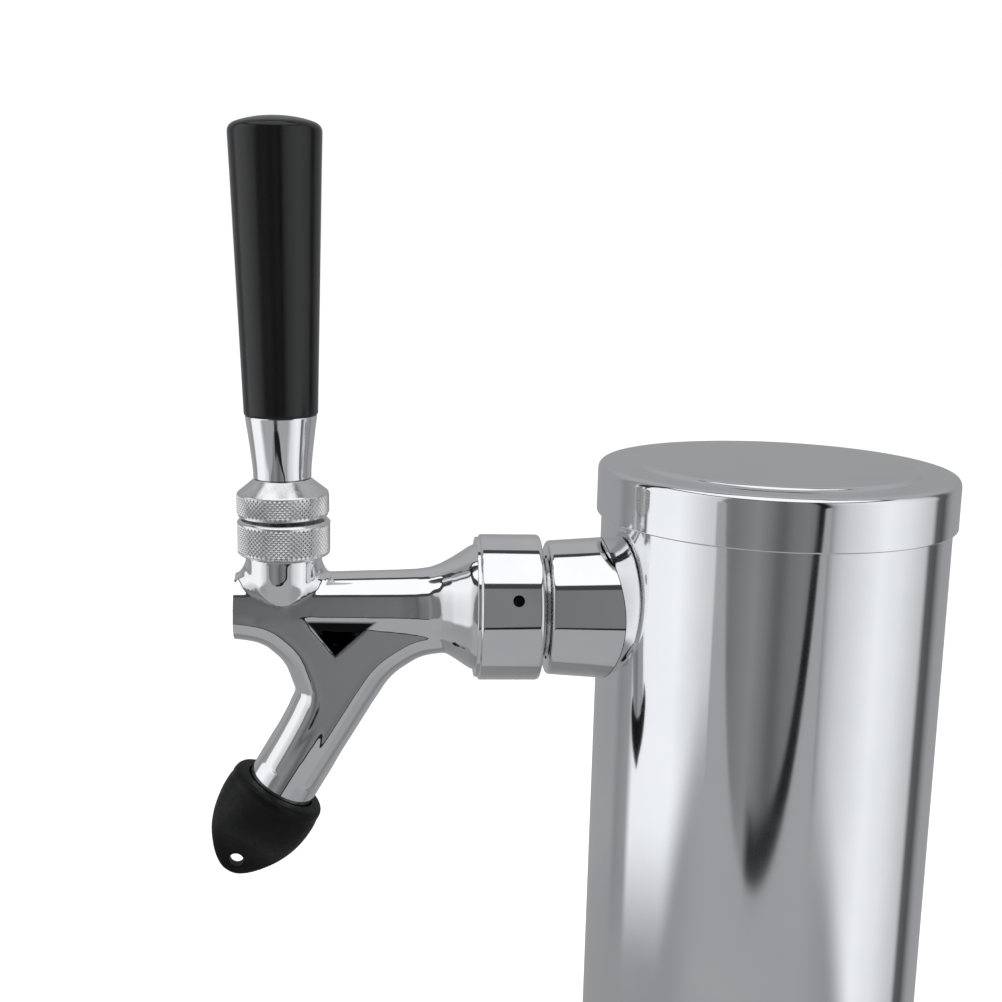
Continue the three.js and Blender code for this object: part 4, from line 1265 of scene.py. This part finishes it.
def makeValveShaft():
    look = valveLook
    low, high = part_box("valve_shaft")
    front, end = low.x, high.x
    seat = end - look["thread"]
    guide = front + look["guide"]
    shoulder = seat - look["shoulder"]
    r, stem = look["radius"], look["stem"]
    profile = [(0, front), (r - 0.5 * mm, front), (r - 0.15 * mm, front + 0.15 * mm), (r, front + 0.5 * mm)]
    for ring in look["grooves"]:
        profile += [(r, front + ring - 0.6 * mm), (r - 0.4 * mm, front + ring - 0.4 * mm)]
        profile += [(r - 0.4 * mm, front + ring + 0.4 * mm), (r, front + ring + 0.6 * mm)]
    profile += [(r, guide), (stem, guide + 1.5 * mm), (stem, shoulder - 1 * mm)]
    profile += [(r, shoulder), (r, seat), (stem - 0.3 * mm, seat)]
    x = seat + 0.4 * mm
    while x + look["pitch"] < end - 0.4 * mm:
        profile += [(stem - 0.3 * mm, x), (stem, x + 0.3 * mm), (stem, x + 0.4 * mm)]
        x += look["pitch"]
    profile += [(stem - 0.3 * mm, x), (stem - 0.4 * mm, end), (0, end)]
    shaft = turnPiece("valveShaft", profile, faucetAxis, "X", 64)
    tipX = pivot.x + (pivot.z - faucetAxis.z) * math.sin(leverLook["lean"])
    room = leverLook["tip"] + 0.35 * mm
    for lowX, highX, lowZ in ((tipX - room, tipX + room, -room), (tipX - room - 1 * mm, tipX, 1.3 * mm)):
        putDown()
        highZ = r + 1 * mm
        place = ((lowX + highX) / 2, 0, faucetAxis.z + (lowZ + highZ) / 2)
        bpy.ops.mesh.primitive_cube_add(size=1, location=place)
        tool = bpy.context.object
        tool.scale = (highX - lowX, 2 * room, highZ - lowZ)
        shapeWith(shaft, settle(tool))
    finishPiece(shaft, "valve", "valve_shaft", "satin_chrome")


makeValveShaft()
makeRing("shaftSeat", "shaft_seat", 2.7 * mm, 0.4 * mm, "valve", "black_rubber", "X", 64)
makeHexNut("shaftNut", "shaft_nut", 2.7 * mm, "valve", "brass")

# rubber cap on the spout
print("spout cap")
plugLook = {
    "radius": 11.2 * mm, "socket": 8 * mm, "socketDepth": 8 * mm, "hole": 1.6 * mm, "holeInset": 3.7 * mm,
    "length": 23.5 * mm, "mouth": (-0.5, 10.45, 10.45),
    "rows": [  # mm: height, half width, half thickness
        (-1.2, 10.85, 10.7), (-2.2, 10.95, 10.75), (-2.7, 10.8, 10.5), (-3.2, 10.98, 10.5), (-4.5, 11.1, 10.3),
        (-6.5, 11.1, 9.95), (-9, 10.85, 9.2), (-11.5, 10.35, 7.5), (-13.5, 9.75, 5.6), (-15.5, 8.95, 3.7),
        (-17.3, 7.95, 2.3), (-19, 6.75, 1.6), (-20.6, 5.45, 1.35), (-22, 4, 1.25), (-23, 2.5, 1.1),
        (-23.4, 1.4, 0.8),
    ],
}


# made with its mouth at the top, then put on the spout's line
def makeSpoutCap():
    look = plugLook
    angle = bodyLook["spoutAngle"]
    up = Vector((math.sin(angle), 0, math.cos(angle)))
    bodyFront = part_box("coupling_nut")[0].x - bodyLook["length"]
    outlet = Vector((bodyFront + bodyLook["outletReach"], 0, faucetAxis.z - bodyLook["outletDrop"]))
    mouth = outlet + up * (look["socketDepth"] - 0.3 * mm)
    r = look["radius"]
    putDown()
    bpy.ops.mesh.primitive_cylinder_add(
        vertices=64, radius=1, depth=0.5 * mm, location=(0, 0, -0.25 * mm), end_fill_type="NGON")
    cap = bpy.context.object
    cap.name = cap.data.name = "spoutCap"
    settle(cap)
    openMesh(cap, "FACE")
    bpy.ops.mesh.select_all(action="DESELECT")
    bpy.ops.object.mode_set(mode="OBJECT")
    for vertex in cap.data.vertices:
        spread = r - (1.5 * mm if vertex.co.z > -0.25 * mm else 0.75 * mm)
        vertex.co.x *= spread
        vertex.co.y *= spread
    for face in cap.data.polygons:
        face.select = face.normal.z < -0.9
    bpy.ops.object.mode_set(mode="EDIT")
    last = look["mouth"]
    for row in look["rows"]:
        bpy.ops.mesh.extrude_region_move(TRANSFORM_OT_translate={"value": (0, 0, (row[0] - last[0]) * mm)})
        bpy.ops.transform.resize(
            value=(row[1] / last[1], row[2] / last[2], 1), center_override=(0, 0, row[0] * mm))
        last = row
    closeMesh()
    pick(cap)
    change = cap.modifiers.new("round", "SUBSURF")
    change.levels = change.render_levels = 1
    bpy.ops.object.modifier_apply(modifier=change.name)
    floor = Vector((0, 0, -look["socketDepth"]))
    drill(cap, look["socket"], floor, Vector((0, 0, 0.005)), 72)
    holeZ = look["holeInset"] - look["length"]
    drill(cap, look["hole"], Vector((0, -0.01, holeZ)), Vector((0, 0.01, holeZ)), 40)
    cap.rotation_euler = (0, angle, 0)
    cap.location = mouth
    settle(cap)
    finishPiece(cap, "plug", "spout_cap", "black_rubber", 50)


makeSpoutCap()
